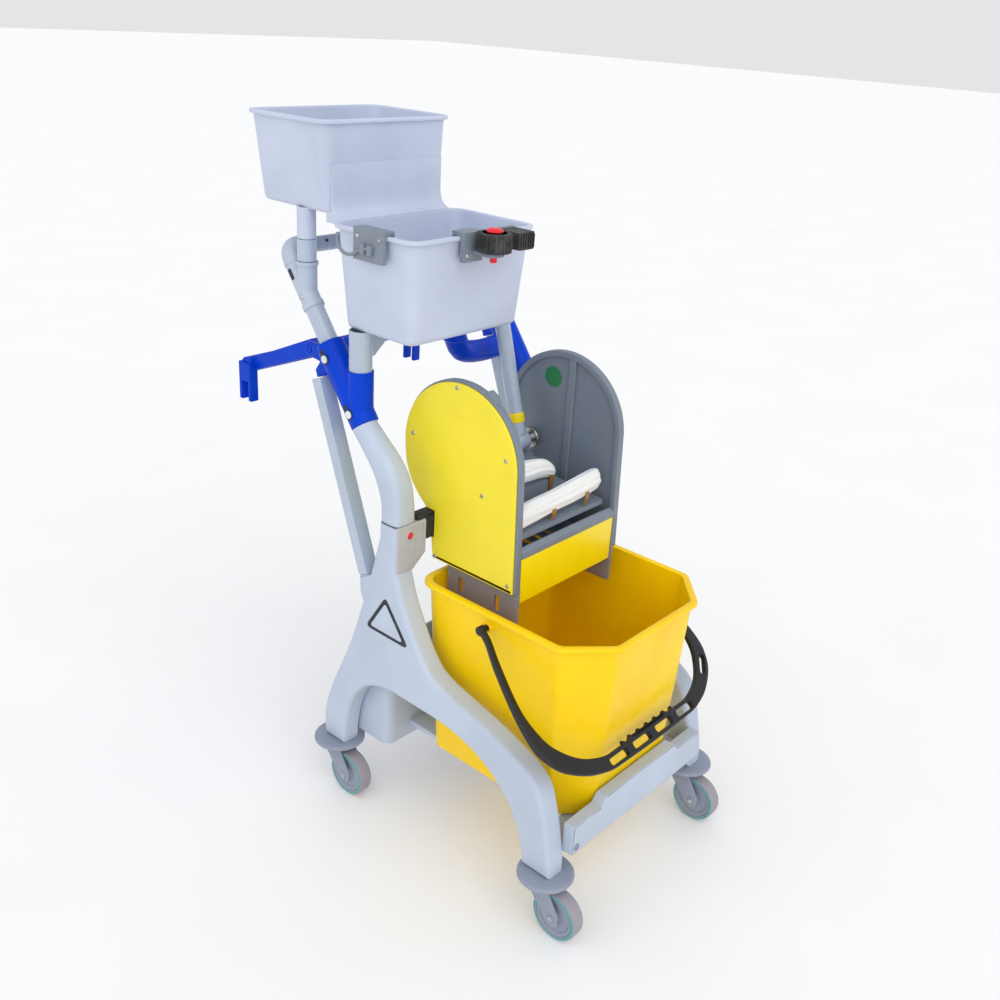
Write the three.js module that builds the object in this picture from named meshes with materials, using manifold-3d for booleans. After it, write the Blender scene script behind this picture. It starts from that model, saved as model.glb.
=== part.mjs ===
// Housekeeping cart: a mop trolley with a wringer over one bucket, two top tubs and a folding bag frame.
// Millimetres, +Z up, the bucket at -Y, the push bar at +Y. The user's left side is -X.
import * as THREE from "three";
import { mergeVertices } from "three/addons/utils/BufferGeometryUtils.js";
import Module from "manifold-3d";

const wasm = await Module();
wasm.setup();

// ---------- driving dimensions ----------
const GAP = 0.3; // clearance between touching pieces

const TRACK = 382; // between left and right caster stems
const WHEELBASE = 465; // between front and rear caster stems
const WHEEL_RADIUS = 40;
const TYRE_WIDTH = 24;
const HUB_RADIUS = 33;
const AXLE_RADIUS = 4;
const CASTER_TRAIL = 30; // wheel centre ahead of its stem
const BUMPER_RADIUS = 43.5;
const LEG_Z = 104; // underside of the side frames

const FRAME_OUTER = 208; // outer face of a side frame from the middle
const FRAME_THICK = 38;
const SEAM_Z = 556; // top of the side frames
const SEAM_FRONT = 84;
const SEAM_REAR = 124;
const BRACKET_INNER = 146; // inboard end of the wringer brackets
const BRACKET_DEPTH = 26;
const BRACKET_BOTTOM = 486;
const BUTTON_RADIUS = 5.5;

const ARM_X = 185; // collars, slanted tubes and struts lie in these two planes
const LEAN = new THREE.Vector3(0, 0.602, 0.799).normalize(); // direction of the collars and slanted tubes
const COLLAR_LOW = new THREE.Vector3(0, 180, 688);
const COLLAR_LENGTH = 136;
const COLLAR_RADIUS = 22;
const TUBE_RADIUS = 14.5;
const POST_RADIUS = 17.5;
const POST_Y = 192;
const SOCKET_RADIUS = 20;
const SOCKET_TOP = 772;
const TUBE_INSET = 40; // how far each slanted tube goes down into its collar
const POST_RIGHT_X = 12; // the far post stands inboard, clear of the lever
const POST_RIGHT_FOOT = 795;

const JOINT_START = 193; // along the lean, from the foot of the collar
const ELBOW_START = 265;
const ELBOW_RADIUS = 15.5;
const BRANCH_Y = 312; // vertical branch of the Y-joint
const BRANCH_TOP = 910;
const BOSS_BOTTOM = 943; // bosses under the upper tub
const SPIGOT_RADIUS = 10;
const PUSH_Y = 356;
const PUSH_Z = 921;
const PUSH_HALF = 155.7;
const PUSH_RADIUS = 12;

const TUB_LEFT = -206; // the tubs stand left of the middle, so that the lever can swing past them
const TUB_RIGHT = 43;
const TUB_WALL = 3;
const TUB_TAPER = 11; // how far each wall leans in at the bottom
const TUB_CORNER = 22;
const TUB_RIM = 5;
const UPPER_TUB = { front: 249, rear: 418, top: 1115, bottom: 987, frontTaper: 0 };
const LOWER_TUB = { front: 67, rear: 229, top: 981, bottom: 832, frontTaper: TUB_TAPER };

const BUCKET_HALF = 166; // rim half width
const BUCKET_REAR = 82;
const BUCKET_FRONT = -261;
const BUCKET_TOP = 461;
const BUCKET_BOTTOM = 148;
const BUCKET_WALL = 3.5;
const BUCKET_RIM = 8;
const BUCKET_TAPER = 16.5;
const BAIL_Y = -62; // pivot of the bucket's bail
const BAIL_Z = 434;
const BAIL_HALF = 172;
const BAIL_RADIUS = 5;

const WRINGER_INNER = 112.5; // inner face of the shells
const SHELL_OUTER = 125.7;
const WRINGER_HALF = 130; // outer face of the side covers
const ARC_Y = 40; // centre of the round top of the wringer
const ARC_Z = 665;
const ARC_RADIUS = 115;
const WRINGER_FRONT = -82;
const WRINGER_BOTTOM = 480;
const SHAFT_Y = 98;
const SHAFT_Z = 621;
const SHAFT_RADIUS = 9;
const PRESS_Z = 590; // pivot of the press plate, below the shaft
const PRESS_HALF = 104;
const LEVER_X = 80;
const LEVER_LENGTH = 350;
const LEVER_RADIUS = 12.5;
const LEVER_LEAN = 0.277; // radians back from upright

const BAG_PIVOT = new THREE.Vector3(0, 300, 779);
const BAG_BAR = new THREE.Vector3(0, 464, 712);
const BAG_HALF = 190;
const BAG_RADIUS = 13;

// ---------- colours ----------
const FRAME_GREY = { color: 0xb8c4d8, roughness: 0.45 };
const TUB_GREY = { color: 0xc2cbe0, roughness: 0.42 };
const TUBE_GREY = { color: 0xa9b6c8, roughness: 0.35 };
const CASTER_GREY = { color: 0x9098ac, roughness: 0.5 };
const TYRE_GREY = { color: 0xa09ca8, roughness: 0.75 };
const TEAL = { color: 0x2ca8a8, roughness: 0.5 };
const BLUE = { color: 0x0a3fd4, roughness: 0.4 };
const SHELL_GREY = { color: 0x76808f, roughness: 0.5 };
const YELLOW = { color: 0xf5e12e, roughness: 0.45 };
const BUCKET_YELLOW = { color: 0xffdc00, roughness: 0.4 };
const BLACK = { color: 0x1e1e22, roughness: 0.45 };
const RED = { color: 0xe8202a, roughness: 0.4 };
const WHITE = { color: 0xf4f4f2, roughness: 0.9 };

// ---------- geometry helpers ----------
const X = new THREE.Vector3(1, 0, 0);
const Y = new THREE.Vector3(0, 1, 0);
const Z = new THREE.Vector3(0, 0, 1);
const v = (x, y, z) => new THREE.Vector3(x, y, z);

// A closed geometry as a solid for the joins and cuts below.
function solid(geometry) {
  const bare = geometry.index ? geometry.toNonIndexed() : geometry.clone();
  bare.deleteAttribute("normal");
  bare.deleteAttribute("uv");
  const merged = mergeVertices(bare, 1e-3);
  return new wasm.Manifold(
    new wasm.Mesh({
      numProp: 3,
      vertProperties: new Float32Array(merged.attributes.position.array),
      triVerts: new Uint32Array(merged.index.array),
    }),
  );
}

// Such a solid as a geometry again.
function geometryOf(made) {
  const { vertProperties, triVerts } = made.getMesh();
  const geometry = new THREE.BufferGeometry();
  geometry.setAttribute("position", new THREE.BufferAttribute(new Float32Array(vertProperties), 3));
  geometry.setIndex(new THREE.BufferAttribute(new Uint32Array(triVerts), 1));
  geometry.computeVertexNormals();
  return geometry;
}

const join = (...pieces) => geometryOf(pieces.map(solid).reduce((a, b) => a.add(b)));
const cut = (base, ...tools) => geometryOf(tools.map(solid).reduce((a, b) => a.subtract(b), solid(base)));

// A geometry whose local X, Y and Z lie along three directions, at a place.
function placed(geometry, x, y, z, origin = v(0, 0, 0)) {
  return geometry.applyMatrix4(new THREE.Matrix4().makeBasis(x, y, z).setPosition(origin));
}

const extrude = (shape, depth, bevel, curveSegments) =>
  new THREE.ExtrudeGeometry(shape, {
    depth: depth - 2 * bevel,
    bevelEnabled: bevel > 0,
    bevelThickness: bevel,
    bevelSize: bevel,
    bevelOffset: -bevel,
    bevelSegments: bevel > 3 ? 2 : 1,
    curveSegments,
  }).translate(0, 0, bevel);

// Outlines in (Y, Z) extruded along X, in (X, Z) extruded along -Y, and in (X, Y) extruded up.
const acrossX = (shape, x, depth, bevel = 0, curve = 4) =>
  placed(extrude(shape, depth, bevel, curve), Y, Z, X, v(x, 0, 0));
const alongY = (shape, y, depth, bevel = 0) =>
  placed(extrude(shape, depth, bevel, 4), X, Z, v(0, -1, 0), v(0, y, 0));
const upward = (shape, z, depth) => extrude(shape, depth, 0, 4).translate(0, 0, z);

function block(x0, x1, y0, y1, z0, z1) {
  const box = new THREE.BoxGeometry(x1 - x0, y1 - y0, z1 - z0);
  return box.translate((x0 + x1) / 2, (y0 + y1) / 2, (z0 + z1) / 2);
}

const roundedRect = (x0, x1, y0, y1, r) => rounded([[x0, y0], [x1, y0], [x1, y1], [x0, y1]], r);

// A closed outline with each corner rounded.
function rounded(points, radius) {
  const shape = new THREE.Shape();
  const corners = points.map(([a, b]) => new THREE.Vector2(a, b));
  corners.forEach((corner, i) => {
    const before = corners[(i + corners.length - 1) % corners.length];
    const after = corners[(i + 1) % corners.length];
    const start = corner.clone().add(before.clone().sub(corner).setLength(radius));
    const end = corner.clone().add(after.clone().sub(corner).setLength(radius));
    if (i === 0) shape.moveTo(start.x, start.y);
    else shape.lineTo(start.x, start.y);
    shape.quadraticCurveTo(corner.x, corner.y, end.x, end.y);
  });
  shape.closePath();
  return shape;
}

function polygon(points) {
  return new THREE.Shape(points.map(([a, b]) => new THREE.Vector2(a, b)));
}

// A round bar between two points.
function rod(from, to, radius, sides = 20) {
  const along = to.clone().sub(from);
  const bar = new THREE.CylinderGeometry(radius, radius, along.length(), sides);
  bar.applyQuaternion(new THREE.Quaternion().setFromUnitVectors(Y, along.normalize()));
  const middle = from.clone().add(to).multiplyScalar(0.5);
  return bar.translate(middle.x, middle.y, middle.z);
}

// A round bar bent along a curve.
function bentRod(points, radius, steps, sides = 16) {
  const section = new THREE.Shape().absarc(0, 0, radius, 0, 2 * Math.PI);
  return new THREE.ExtrudeGeometry(section, {
    steps,
    curveSegments: sides / 2,
    bevelEnabled: false,
    extrudePath: new THREE.CatmullRomCurve3(points, false, "centripetal"),
  });
}

// A turned body about an axis along direction, from (radius, height) pairs that start and end on the axis.
function turned(profile, origin, direction, sides = 24) {
  const lathe = new THREE.LatheGeometry(profile.map(([r, h]) => new THREE.Vector2(r, h)), sides);
  lathe.applyQuaternion(new THREE.Quaternion().setFromUnitVectors(Y, direction));
  return lathe.translate(origin.x, origin.y, origin.z);
}

// A ring with a square-edged section, about an axis along direction.
function ring(inner, outer, height, origin, direction, sides = 24) {
  const profile = [[inner, 0], [outer, 0], [outer, height], [inner, height], [inner, 0]];
  return turned(profile, origin, direction, sides);
}

// A solid through rings that each have the same number of points, listed anticlockwise seen from the last.
function loft(rings) {
  const count = rings[0].length;
  const positions = rings.flat().flatMap((p) => [p.x, p.y, p.z]);
  const faces = [];
  for (let r = 0; r + 1 < rings.length; r++) {
    for (let i = 0; i < count; i++) {
      const a = r * count + i;
      const b = r * count + ((i + 1) % count);
      faces.push(a, b, b + count, a, b + count, a + count);
    }
  }
  const last = (rings.length - 1) * count;
  for (let i = 1; i + 1 < count; i++) {
    faces.push(0, i + 1, i, last, last + i, last + i + 1);
  }
  const geometry = new THREE.BufferGeometry();
  geometry.setAttribute("position", new THREE.Float32BufferAttribute(positions, 3));
  geometry.setIndex(faces);
  return geometry;
}

// The points of an outline as a ring at one height.
function ringAt(shape, z) {
  const points = shape.extractPoints(3).shape;
  const closed = points[0].distanceTo(points[points.length - 1]) < 1e-3;
  return (closed ? points.slice(0, -1) : points).map((p) => v(p.x, p.y, z));
}

// ---------- scene ----------
const cart = new THREE.Group();

function part(name, geometry, { color, roughness, metalness = 0 }) {
  const mesh = new THREE.Mesh(geometry, new THREE.MeshStandardMaterial({ color, roughness, metalness }));
  mesh.name = name;
  cart.add(mesh);
}

const SIDES = [
  { side: "left", s: -1 },
  { side: "right", s: 1 },
];

// A slab between two distances from the middle, on one side: an outline in (Y, Z), or a box.
const slab = (shape, s, inner, outer, bevel = 0, curve = 4) =>
  acrossX(shape, s < 0 ? -outer : inner, outer - inner, bevel, curve);
const sideBlock = (s, inner, outer, y0, y1, z0, z1) =>
  block(Math.min(s * inner, s * outer), Math.max(s * inner, s * outer), y0, y1, z0, z1);

// ---------- side frames ----------
const through = (shape, points) => shape.splineThru(points.map(([a, b]) => new THREE.Vector2(a, b)));

function sideFrameOutline() {
  const shape = new THREE.Shape();
  shape.moveTo(205, LEG_Z);
  shape.lineTo(254, LEG_Z);
  through(shape, [[254, 150], [239, 204], [190, 317], [152, 430]]);
  through(shape, [[132, 500], [SEAM_REAR, 530]]);
  shape.lineTo(SEAM_REAR, SEAM_Z);
  shape.lineTo(SEAM_FRONT, SEAM_Z);
  shape.lineTo(SEAM_FRONT + 1, 478);
  through(shape, [[64, 422], [22, 352], [-16, 325], [-122, 296], [-205, 260], [-232, 207], [-249, 130]]);
  shape.lineTo(-250, LEG_Z);
  shape.lineTo(-196, LEG_Z);
  shape.bezierCurveTo(-186, 215, -95, 264, 5, 264);
  shape.lineTo(85, 265);
  shape.bezierCurveTo(160, 262, 200, 215, 205, LEG_Z);
  return shape;
}

// The bracket that carries the wringer stands inboard of the top of the frame, with a sloped lower edge.
const bracketOutline = (s) =>
  polygon([
    [s * (FRAME_OUTER - FRAME_THICK + 4), BRACKET_BOTTOM - 8],
    [s * BRACKET_INNER, BRACKET_BOTTOM + 14],
    [s * BRACKET_INNER, SEAM_Z],
    [s * (FRAME_OUTER - FRAME_THICK + 4), SEAM_Z],
  ]);

// Struts run from a socket at the back of each frame up to a lug on the collar.
const STRUT_FOOT = v(0, 158, 452);
const STRUT_HEAD = v(0, 267, 743);
const STRUT_INNER = 184;
const STRUT_SOCKET = [[140, 385], [152, 390], [166, 420], [167.2, 447.9], [148.4, 455], [136, 455]];
const STEM_RADIUS = 8;
const BUTTON_X = 181;
const BUTTON_Z = 538;

for (const { side, s } of SIDES) {
  const plate = slab(sideFrameOutline(), s, FRAME_OUTER - FRAME_THICK, FRAME_OUTER, 7);
  const bracket = alongY(bracketOutline(s), SEAM_FRONT + BRACKET_DEPTH, BRACKET_DEPTH);
  const socket = slab(polygon(STRUT_SOCKET), s, STRUT_INNER - 2, FRAME_OUTER - 1);
  const bore = rod(
    v(s * BUTTON_X, SEAM_FRONT - 1, BUTTON_Z),
    v(s * BUTTON_X, SEAM_FRONT + 16, BUTTON_Z),
    BUTTON_RADIUS + GAP,
    20,
  );
  const stems = [-1, 1].map((e) => {
    const foot = v((s * TRACK) / 2, (e * WHEELBASE) / 2, LEG_Z - 1);
    return rod(foot, foot.clone().setZ(LEG_Z + 9), STEM_RADIUS + GAP, 20);
  });
  part(`side_frame_${side}`, cut(join(plate, bracket, socket), bore, ...stems), FRAME_GREY);

  const button = turned(
    [[0, 0], [BUTTON_RADIUS, 0], [BUTTON_RADIUS, 11], [BUTTON_RADIUS - 1.5, 12.5], [0, 12.5]],
    v(s * BUTTON_X, SEAM_FRONT + 10, BUTTON_Z),
    v(0, -1, 0),
    20,
  );
  part(`lock_button_${side}`, button, RED);
}

// ---------- upper arms ----------
// Rounded sections that turn from upright to the lean of the collars while they shrink to a circle.
function armSection(s, [y, z, lean, halfX, halfY, squareness]) {
  const points = [];
  for (let i = 0; i < 24; i++) {
    const c = Math.cos((i * Math.PI) / 12);
    const n = Math.sin((i * Math.PI) / 12);
    const dx = Math.sign(c) * Math.abs(c) ** squareness * halfX;
    const dy = Math.sign(n) * Math.abs(n) ** squareness * halfY;
    points.push(v(s * 187 + dx, y + dy * Math.cos(lean), z - dy * Math.sin(lean)));
  }
  return points;
}

const ARM_STATIONS = [
  [104, SEAM_Z + GAP, 0, 20.5, 20, 0.45],
  [105, 585, 0.05, 20.5, 20.5, 0.5],
  [113, 615, 0.3, 20.5, 22.5, 0.55],
  [130, 641, 0.52, 20.5, 22, 0.7],
  [158, 668, 0.63, 20, 20.5, 0.9],
  [180, 688, 0.646, 19.5, 19.5, 1],
];
for (const { side, s } of SIDES) {
  part(`arm_${side}`, loft(ARM_STATIONS.map((station) => armSection(s, station))), FRAME_GREY);
}

// ---------- collars, posts and struts ----------
const onLean = (s, along) => v(s * ARM_X, COLLAR_LOW.y, COLLAR_LOW.z).addScaledVector(LEAN, along);
const BAG_LUG = [183, 193]; // lugs behind the collars that carry the bag frame
const BAG_PIN_RADIUS = 5;

function socketPieces(s) {
  if (s < 0) {
    return {
      foot: v(-ARM_X, POST_Y, SOCKET_TOP - 20),
      body: [rod(v(-ARM_X, POST_Y, 706), v(-ARM_X, POST_Y, SOCKET_TOP), SOCKET_RADIUS)],
    };
  }
  const path = [[ARM_X - 5, 224, 747], [140, 210, 747], [75, 203, 750], [34, 197, 762], [POST_RIGHT_X, POST_Y, 792]];
  const foot = v(POST_RIGHT_X, POST_Y, POST_RIGHT_FOOT);
  return {
    foot,
    body: [
      bentRod(path.map(([x, y, z]) => v(x, y, z)), 18.5, 14, 20),
      rod(foot.clone().setZ(POST_RIGHT_FOOT - 12), foot.clone().setZ(POST_RIGHT_FOOT + 12), SOCKET_RADIUS),
    ],
  };
}

const STRUT_LUG = [[257.2, 747.3], [276.8, 740], [281, 752], [262, 778], [244, 768]];
const BAG_LUG_OUTLINE = rounded([[255, 762], [311, 768], [311, 790], [255, 790]], 9);

for (const { side, s } of SIDES) {
  const { foot, body } = socketPieces(s);
  const sleeve = rod(onLean(s, GAP), onLean(s, COLLAR_LENGTH), COLLAR_RADIUS);
  const strutLug = slab(polygon(STRUT_LUG), s, 176, 198);
  const bagLug = slab(BAG_LUG_OUTLINE, s, ...BAG_LUG);
  const tubeBore = rod(onLean(s, COLLAR_LENGTH - TUBE_INSET - GAP), onLean(s, COLLAR_LENGTH + 60), TUBE_RADIUS + GAP);
  const postBore = rod(foot, foot.clone().setZ(foot.z + 30), POST_RADIUS + GAP);
  const pinBore = rod(
    v(s * (BAG_LUG[0] - 1), BAG_PIVOT.y, BAG_PIVOT.z),
    v(s * (BAG_LUG[1] + 1), BAG_PIVOT.y, BAG_PIVOT.z),
    BAG_PIN_RADIUS + GAP,
    16,
  );
  part(`collar_${side}`, cut(join(sleeve, ...body, strutLug, bagLug), tubeBore, postBore, pinBore), BLUE);

  const post = rod(foot.clone().setZ(foot.z + GAP), foot.clone().setZ(LOWER_TUB.bottom - GAP), POST_RADIUS);
  part(`tub_post_${side}`, post, TUB_GREY);

  const along = STRUT_HEAD.clone().sub(STRUT_FOOT);
  const channel = new THREE.Shape();
  channel.moveTo(0, -10);
  [[24, -10], [24, 10], [21, 10], [21, -7], [3, -7], [3, 10], [0, 10]].forEach(([a, b]) => channel.lineTo(a, b));
  const strut = new THREE.ExtrudeGeometry(channel, { depth: along.length(), bevelEnabled: false });
  const up = along.clone().normalize();
  const start = v(s < 0 ? -FRAME_OUTER : STRUT_INNER, STRUT_FOOT.y, STRUT_FOOT.z);
  part(`strut_${side}`, placed(strut, X, new THREE.Vector3().crossVectors(up, X), up, start), TUBE_GREY);
}

// ---------- tubes up to the push bar ----------
for (const { side, s } of SIDES) {
  const end = s < 0 ? JOINT_START : ELBOW_START;
  const tube = rod(onLean(s, COLLAR_LENGTH - TUBE_INSET), onLean(s, end - GAP), TUBE_RADIUS);
  part(`slanted_tube_${side}`, tube, TUBE_GREY);

  const elbow = [
    onLean(s, ELBOW_START),
    onLean(s, ELBOW_START + 12),
    v(s * (ARM_X - 5), PUSH_Y - 3, PUSH_Z - 4),
    v(s * (ARM_X - 15), PUSH_Y, PUSH_Z),
    v(s * (PUSH_HALF + GAP), PUSH_Y, PUSH_Z),
  ];
  part(`elbow_${side}`, bentRod(elbow, ELBOW_RADIUS, 10, 20), TUBE_GREY);
}

const spigot = (x, from) =>
  turned(
    [[0, from], [14.5, from], [14.5, BOSS_BOTTOM - GAP], [SPIGOT_RADIUS, BOSS_BOTTOM - GAP], [SPIGOT_RADIUS, 962], [0, 962]],
    v(x, BRANCH_Y, 0),
    Z,
    20,
  );
const yJoint = join(
  rod(onLean(-1, JOINT_START), onLean(-1, ELBOW_START - GAP), ELBOW_RADIUS),
  rod(v(-ARM_X, BRANCH_Y, 858), v(-ARM_X, BRANCH_Y, BRANCH_TOP), TUBE_RADIUS + 0.5),
);
part("y_joint_left", yJoint, TUBE_GREY);
part("vertical_tube_left", spigot(-ARM_X, BRANCH_TOP + GAP), TUBE_GREY);
const pushBar = rod(v(-PUSH_HALF, PUSH_Y, PUSH_Z), v(PUSH_HALF, PUSH_Y, PUSH_Z), PUSH_RADIUS);
part("push_bar", pushBar, TUBE_GREY);

const STAY_X = 14;
const clamp = rod(v(STAY_X - 16, PUSH_Y, PUSH_Z), v(STAY_X + 16, PUSH_Y, PUSH_Z), PUSH_RADIUS + 5);
const stayArm = rod(v(STAY_X, PUSH_Y, PUSH_Z), v(STAY_X, BRANCH_Y, 931), 9);
const barBore = rod(v(STAY_X - 20, PUSH_Y, PUSH_Z), v(STAY_X + 20, PUSH_Y, PUSH_Z), PUSH_RADIUS + GAP);
part("tub_stay_right", cut(join(clamp, stayArm, spigot(STAY_X, 922)), barBore), TUBE_GREY);

// ---------- two-level top tub ----------
// One level of a tub: how far down its taper (0 at the rim, 1 at the floor), and how much wider than that.
function tubRing(tub, down, grow, z) {
  const inset = TUB_TAPER * down - grow;
  const front = tub.front + tub.frontTaper * down - grow;
  const corner = TUB_CORNER - TUB_TAPER * down + Math.min(grow, 0);
  return ringAt(roundedRect(TUB_LEFT + inset, TUB_RIGHT - inset, front, tub.rear - inset, corner), z);
}

const tubOuter = (tub) =>
  loft([
    tubRing(tub, 1, -5, tub.bottom),
    tubRing(tub, 1, 0, tub.bottom + 6),
    tubRing(tub, 0, 0, tub.top - 7),
    tubRing(tub, 0, TUB_RIM, tub.top - 6),
    tubRing(tub, 0, TUB_RIM, tub.top - 1.5),
    tubRing(tub, 0, TUB_RIM - 1.5, tub.top),
  ]);
const tubInner = (tub) =>
  loft([
    tubRing(tub, 1, -5 - TUB_WALL, tub.bottom + TUB_WALL),
    tubRing(tub, 1, -TUB_WALL, tub.bottom + TUB_WALL + 5),
    tubRing(tub, 0, -TUB_WALL, tub.top - 3),
    tubRing(tub, 0, 1.5 - TUB_WALL, tub.top + 1),
  ]);
const boss = (x) => ring(SPIGOT_RADIUS + GAP, 14, UPPER_TUB.bottom + 2 - BOSS_BOTTOM, v(x, BRANCH_Y, BOSS_BOTTOM), Z, 20);
const tubWeb = acrossX(
  polygon([[227, 975], [262, 975], [262, 989], [250, 1012], [249, 1004], [243, 990], [234, 982], [227, 980]]),
  TUB_LEFT + 20,
  TUB_RIGHT - TUB_LEFT - 40,
);
const tubs = join(tubOuter(LOWER_TUB), tubOuter(UPPER_TUB), tubWeb, boss(-ARM_X), boss(STAY_X));
part("top_tub", cut(tubs, tubInner(LOWER_TUB), tubInner(UPPER_TUB)), TUB_GREY);

// ---------- hook clip on the near rim ----------
const RIM_X = TUB_LEFT - TUB_RIM;
const RIM_TOP = LOWER_TUB.top;
const clip = join(
  block(RIM_X - 8, RIM_X - GAP, 112, 171, 943, RIM_TOP + 6),
  block(RIM_X - 8, TUB_LEFT + 9, 112, 171, RIM_TOP + GAP, RIM_TOP + 6),
  block(TUB_LEFT + 5.5, TUB_LEFT + 9, 112, 171, RIM_TOP - 20, RIM_TOP + 6),
);
part("hook_clip", clip, SHELL_GREY);
const hook = [[138, 962], [158, 956], [174, 948], [191, 950], [200, 961], [199, 974]];
part("hook_rod", bentRod(hook.map(([y, z]) => v(RIM_X - 11, y, z)), 2.5, 14, 8), SHELL_GREY);

// ---------- mop clip on the front rim ----------
const RIM_Y = LOWER_TUB.front - TUB_RIM;
const ROLLER_X = -90;
const ROLLER_Y = 28;
const ROLLER_RADIUS = 25;
const PIN_RADIUS = 5;
const CLIP_Z = 961;
const clipBody = join(
  block(-122, -17, RIM_Y - 8, RIM_Y - GAP, CLIP_Z, CLIP_Z + 26),
  block(-122, -84, RIM_Y - 8, RIM_Y - GAP, CLIP_Z - 15, RIM_TOP + 6),
  block(-122, -84, RIM_Y - 8, RIM_Y + 16, RIM_TOP + GAP, RIM_TOP + 6),
  block(-122, -84, RIM_Y + 11.5, RIM_Y + 16, RIM_TOP - 18, RIM_TOP + 6),
  upward(roundedRect(ROLLER_X - 16, ROLLER_X + 14, ROLLER_Y - 12, RIM_Y - 4, 9), CLIP_Z - 4, 5),
);
const pinBore = rod(v(ROLLER_X, ROLLER_Y, CLIP_Z - 8), v(ROLLER_X, ROLLER_Y, CLIP_Z + 8), PIN_RADIUS + GAP, 16);
part("mop_clip_body", cut(clipBody, pinBore), BLACK);
const roller = ring(PIN_RADIUS + GAP, ROLLER_RADIUS, 27, v(ROLLER_X, ROLLER_Y, CLIP_Z + 1 + GAP), Z);
part("mop_clip_roller", roller, BLACK);
const pin = [
  [0, CLIP_Z - 13],
  [PIN_RADIUS, CLIP_Z - 13],
  [PIN_RADIUS, CLIP_Z + 28.8],
  [12, CLIP_Z + 28.8],
  [12, CLIP_Z + 31],
  [8, CLIP_Z + 34],
  [0, CLIP_Z + 34],
];
part("mop_clip_pin", turned(pin, v(ROLLER_X, ROLLER_Y, 0), Z, 20), RED);
part("mop_clip_block", upward(roundedRect(-52, -19, 14, RIM_Y - 8 - GAP, 6), CLIP_Z + 1, 24), BLACK);

// ---------- folding bag frame ----------
const bagArm = [
  [BAG_PIVOT.y - 11, BAG_PIVOT.z - 8],
  [BAG_BAR.y - 6, BAG_BAR.z - 10],
  [BAG_BAR.y, BAG_BAR.z + 10],
  [BAG_PIVOT.y + 8, BAG_PIVOT.z + 12],
  [BAG_PIVOT.y - 11, BAG_PIVOT.z + 8],
];
const claw = polygon([[450, 716], [450, 652], [457, 652], [457, 684], [473, 684], [473, 652], [480, 652], [480, 716]]);
const bagPieces = SIDES.flatMap(({ s }) => [
  slab(polygon(bagArm), s, BAG_LUG[0] - 11, BAG_LUG[0] - GAP),
  rod(v(s * (BAG_LUG[0] - 4), BAG_PIVOT.y, BAG_PIVOT.z), v(s * BAG_LUG[1], BAG_PIVOT.y, BAG_PIVOT.z), BAG_PIN_RADIUS, 16),
  slab(claw, s, BAG_HALF - 12, BAG_HALF + 5, 1.5),
]);
const bagBar = rod(v(-BAG_HALF, BAG_BAR.y, BAG_BAR.z), v(BAG_HALF, BAG_BAR.y, BAG_BAR.z), BAG_RADIUS);
part("bag_frame", join(bagBar, ...bagPieces), BLUE);

// ---------- front cross-member and rear box ----------
const CROSS_HALF = FRAME_OUTER - FRAME_THICK - GAP;
const SHELF_Z = BUCKET_BOTTOM - GAP; // top of the ledges under the bucket
const lip = polygon([
  [-CROSS_HALF, 134],
  [CROSS_HALF, 134],
  [CROSS_HALF, 186],
  [102, 186],
  [92, 200],
  [-92, 200],
  [-102, 186],
  [-CROSS_HALF, 186],
]);
const frontShelf = block(-CROSS_HALF, CROSS_HALF, -250, -200, 134, SHELF_Z);
part("front_crossbar", join(alongY(lip, -240, 22, 2), frontShelf), FRAME_GREY);

const boxOuter = upward(roundedRect(-CROSS_HALF, CROSS_HALF, 134, 225, 18), 116, 134);
const boxInner = upward(roundedRect(3.5 - CROSS_HALF, CROSS_HALF - 3.5, 137.5, 221.5, 15), 119.5, 134);
const rearShelf = block(-120, 120, 40, 136, 138, SHELF_Z);
part("rear_box", cut(join(boxOuter, rearShelf), boxInner), FRAME_GREY);

// ---------- bucket and bail ----------
function bucketRing(grow, z) {
  const half = BUCKET_HALF - BUCKET_RIM + grow;
  const rear = BUCKET_REAR - BUCKET_RIM + grow;
  const front = BUCKET_FRONT + BUCKET_RIM - grow;
  const corners = [[half, rear], [-half, rear], [-half, front + 57], [62 - half, front], [half - 62, front], [half, front + 57]];
  return ringAt(rounded(corners, 24), z);
}

const bucketOuter = loft([
  bucketRing(-BUCKET_TAPER - 6, BUCKET_BOTTOM),
  bucketRing(-BUCKET_TAPER, BUCKET_BOTTOM + 7),
  bucketRing(0, BUCKET_TOP - 9),
  bucketRing(BUCKET_RIM, BUCKET_TOP - 8),
  bucketRing(BUCKET_RIM, BUCKET_TOP - 2),
  bucketRing(BUCKET_RIM - 2, BUCKET_TOP),
]);
const bucketInner = loft([
  bucketRing(-BUCKET_TAPER - 6 - BUCKET_WALL, BUCKET_BOTTOM + BUCKET_WALL),
  bucketRing(-BUCKET_TAPER - BUCKET_WALL, BUCKET_BOTTOM + BUCKET_WALL + 6),
  bucketRing(-BUCKET_WALL, BUCKET_TOP - 4),
  bucketRing(-1, BUCKET_TOP + 1),
]);
const bailBore = rod(v(-BAIL_HALF, BAIL_Y, BAIL_Z), v(BAIL_HALF, BAIL_Y, BAIL_Z), BAIL_RADIUS + GAP - 0.5, 16);
part("bucket", cut(bucketOuter, bucketInner, bailBore), BUCKET_YELLOW);

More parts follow.
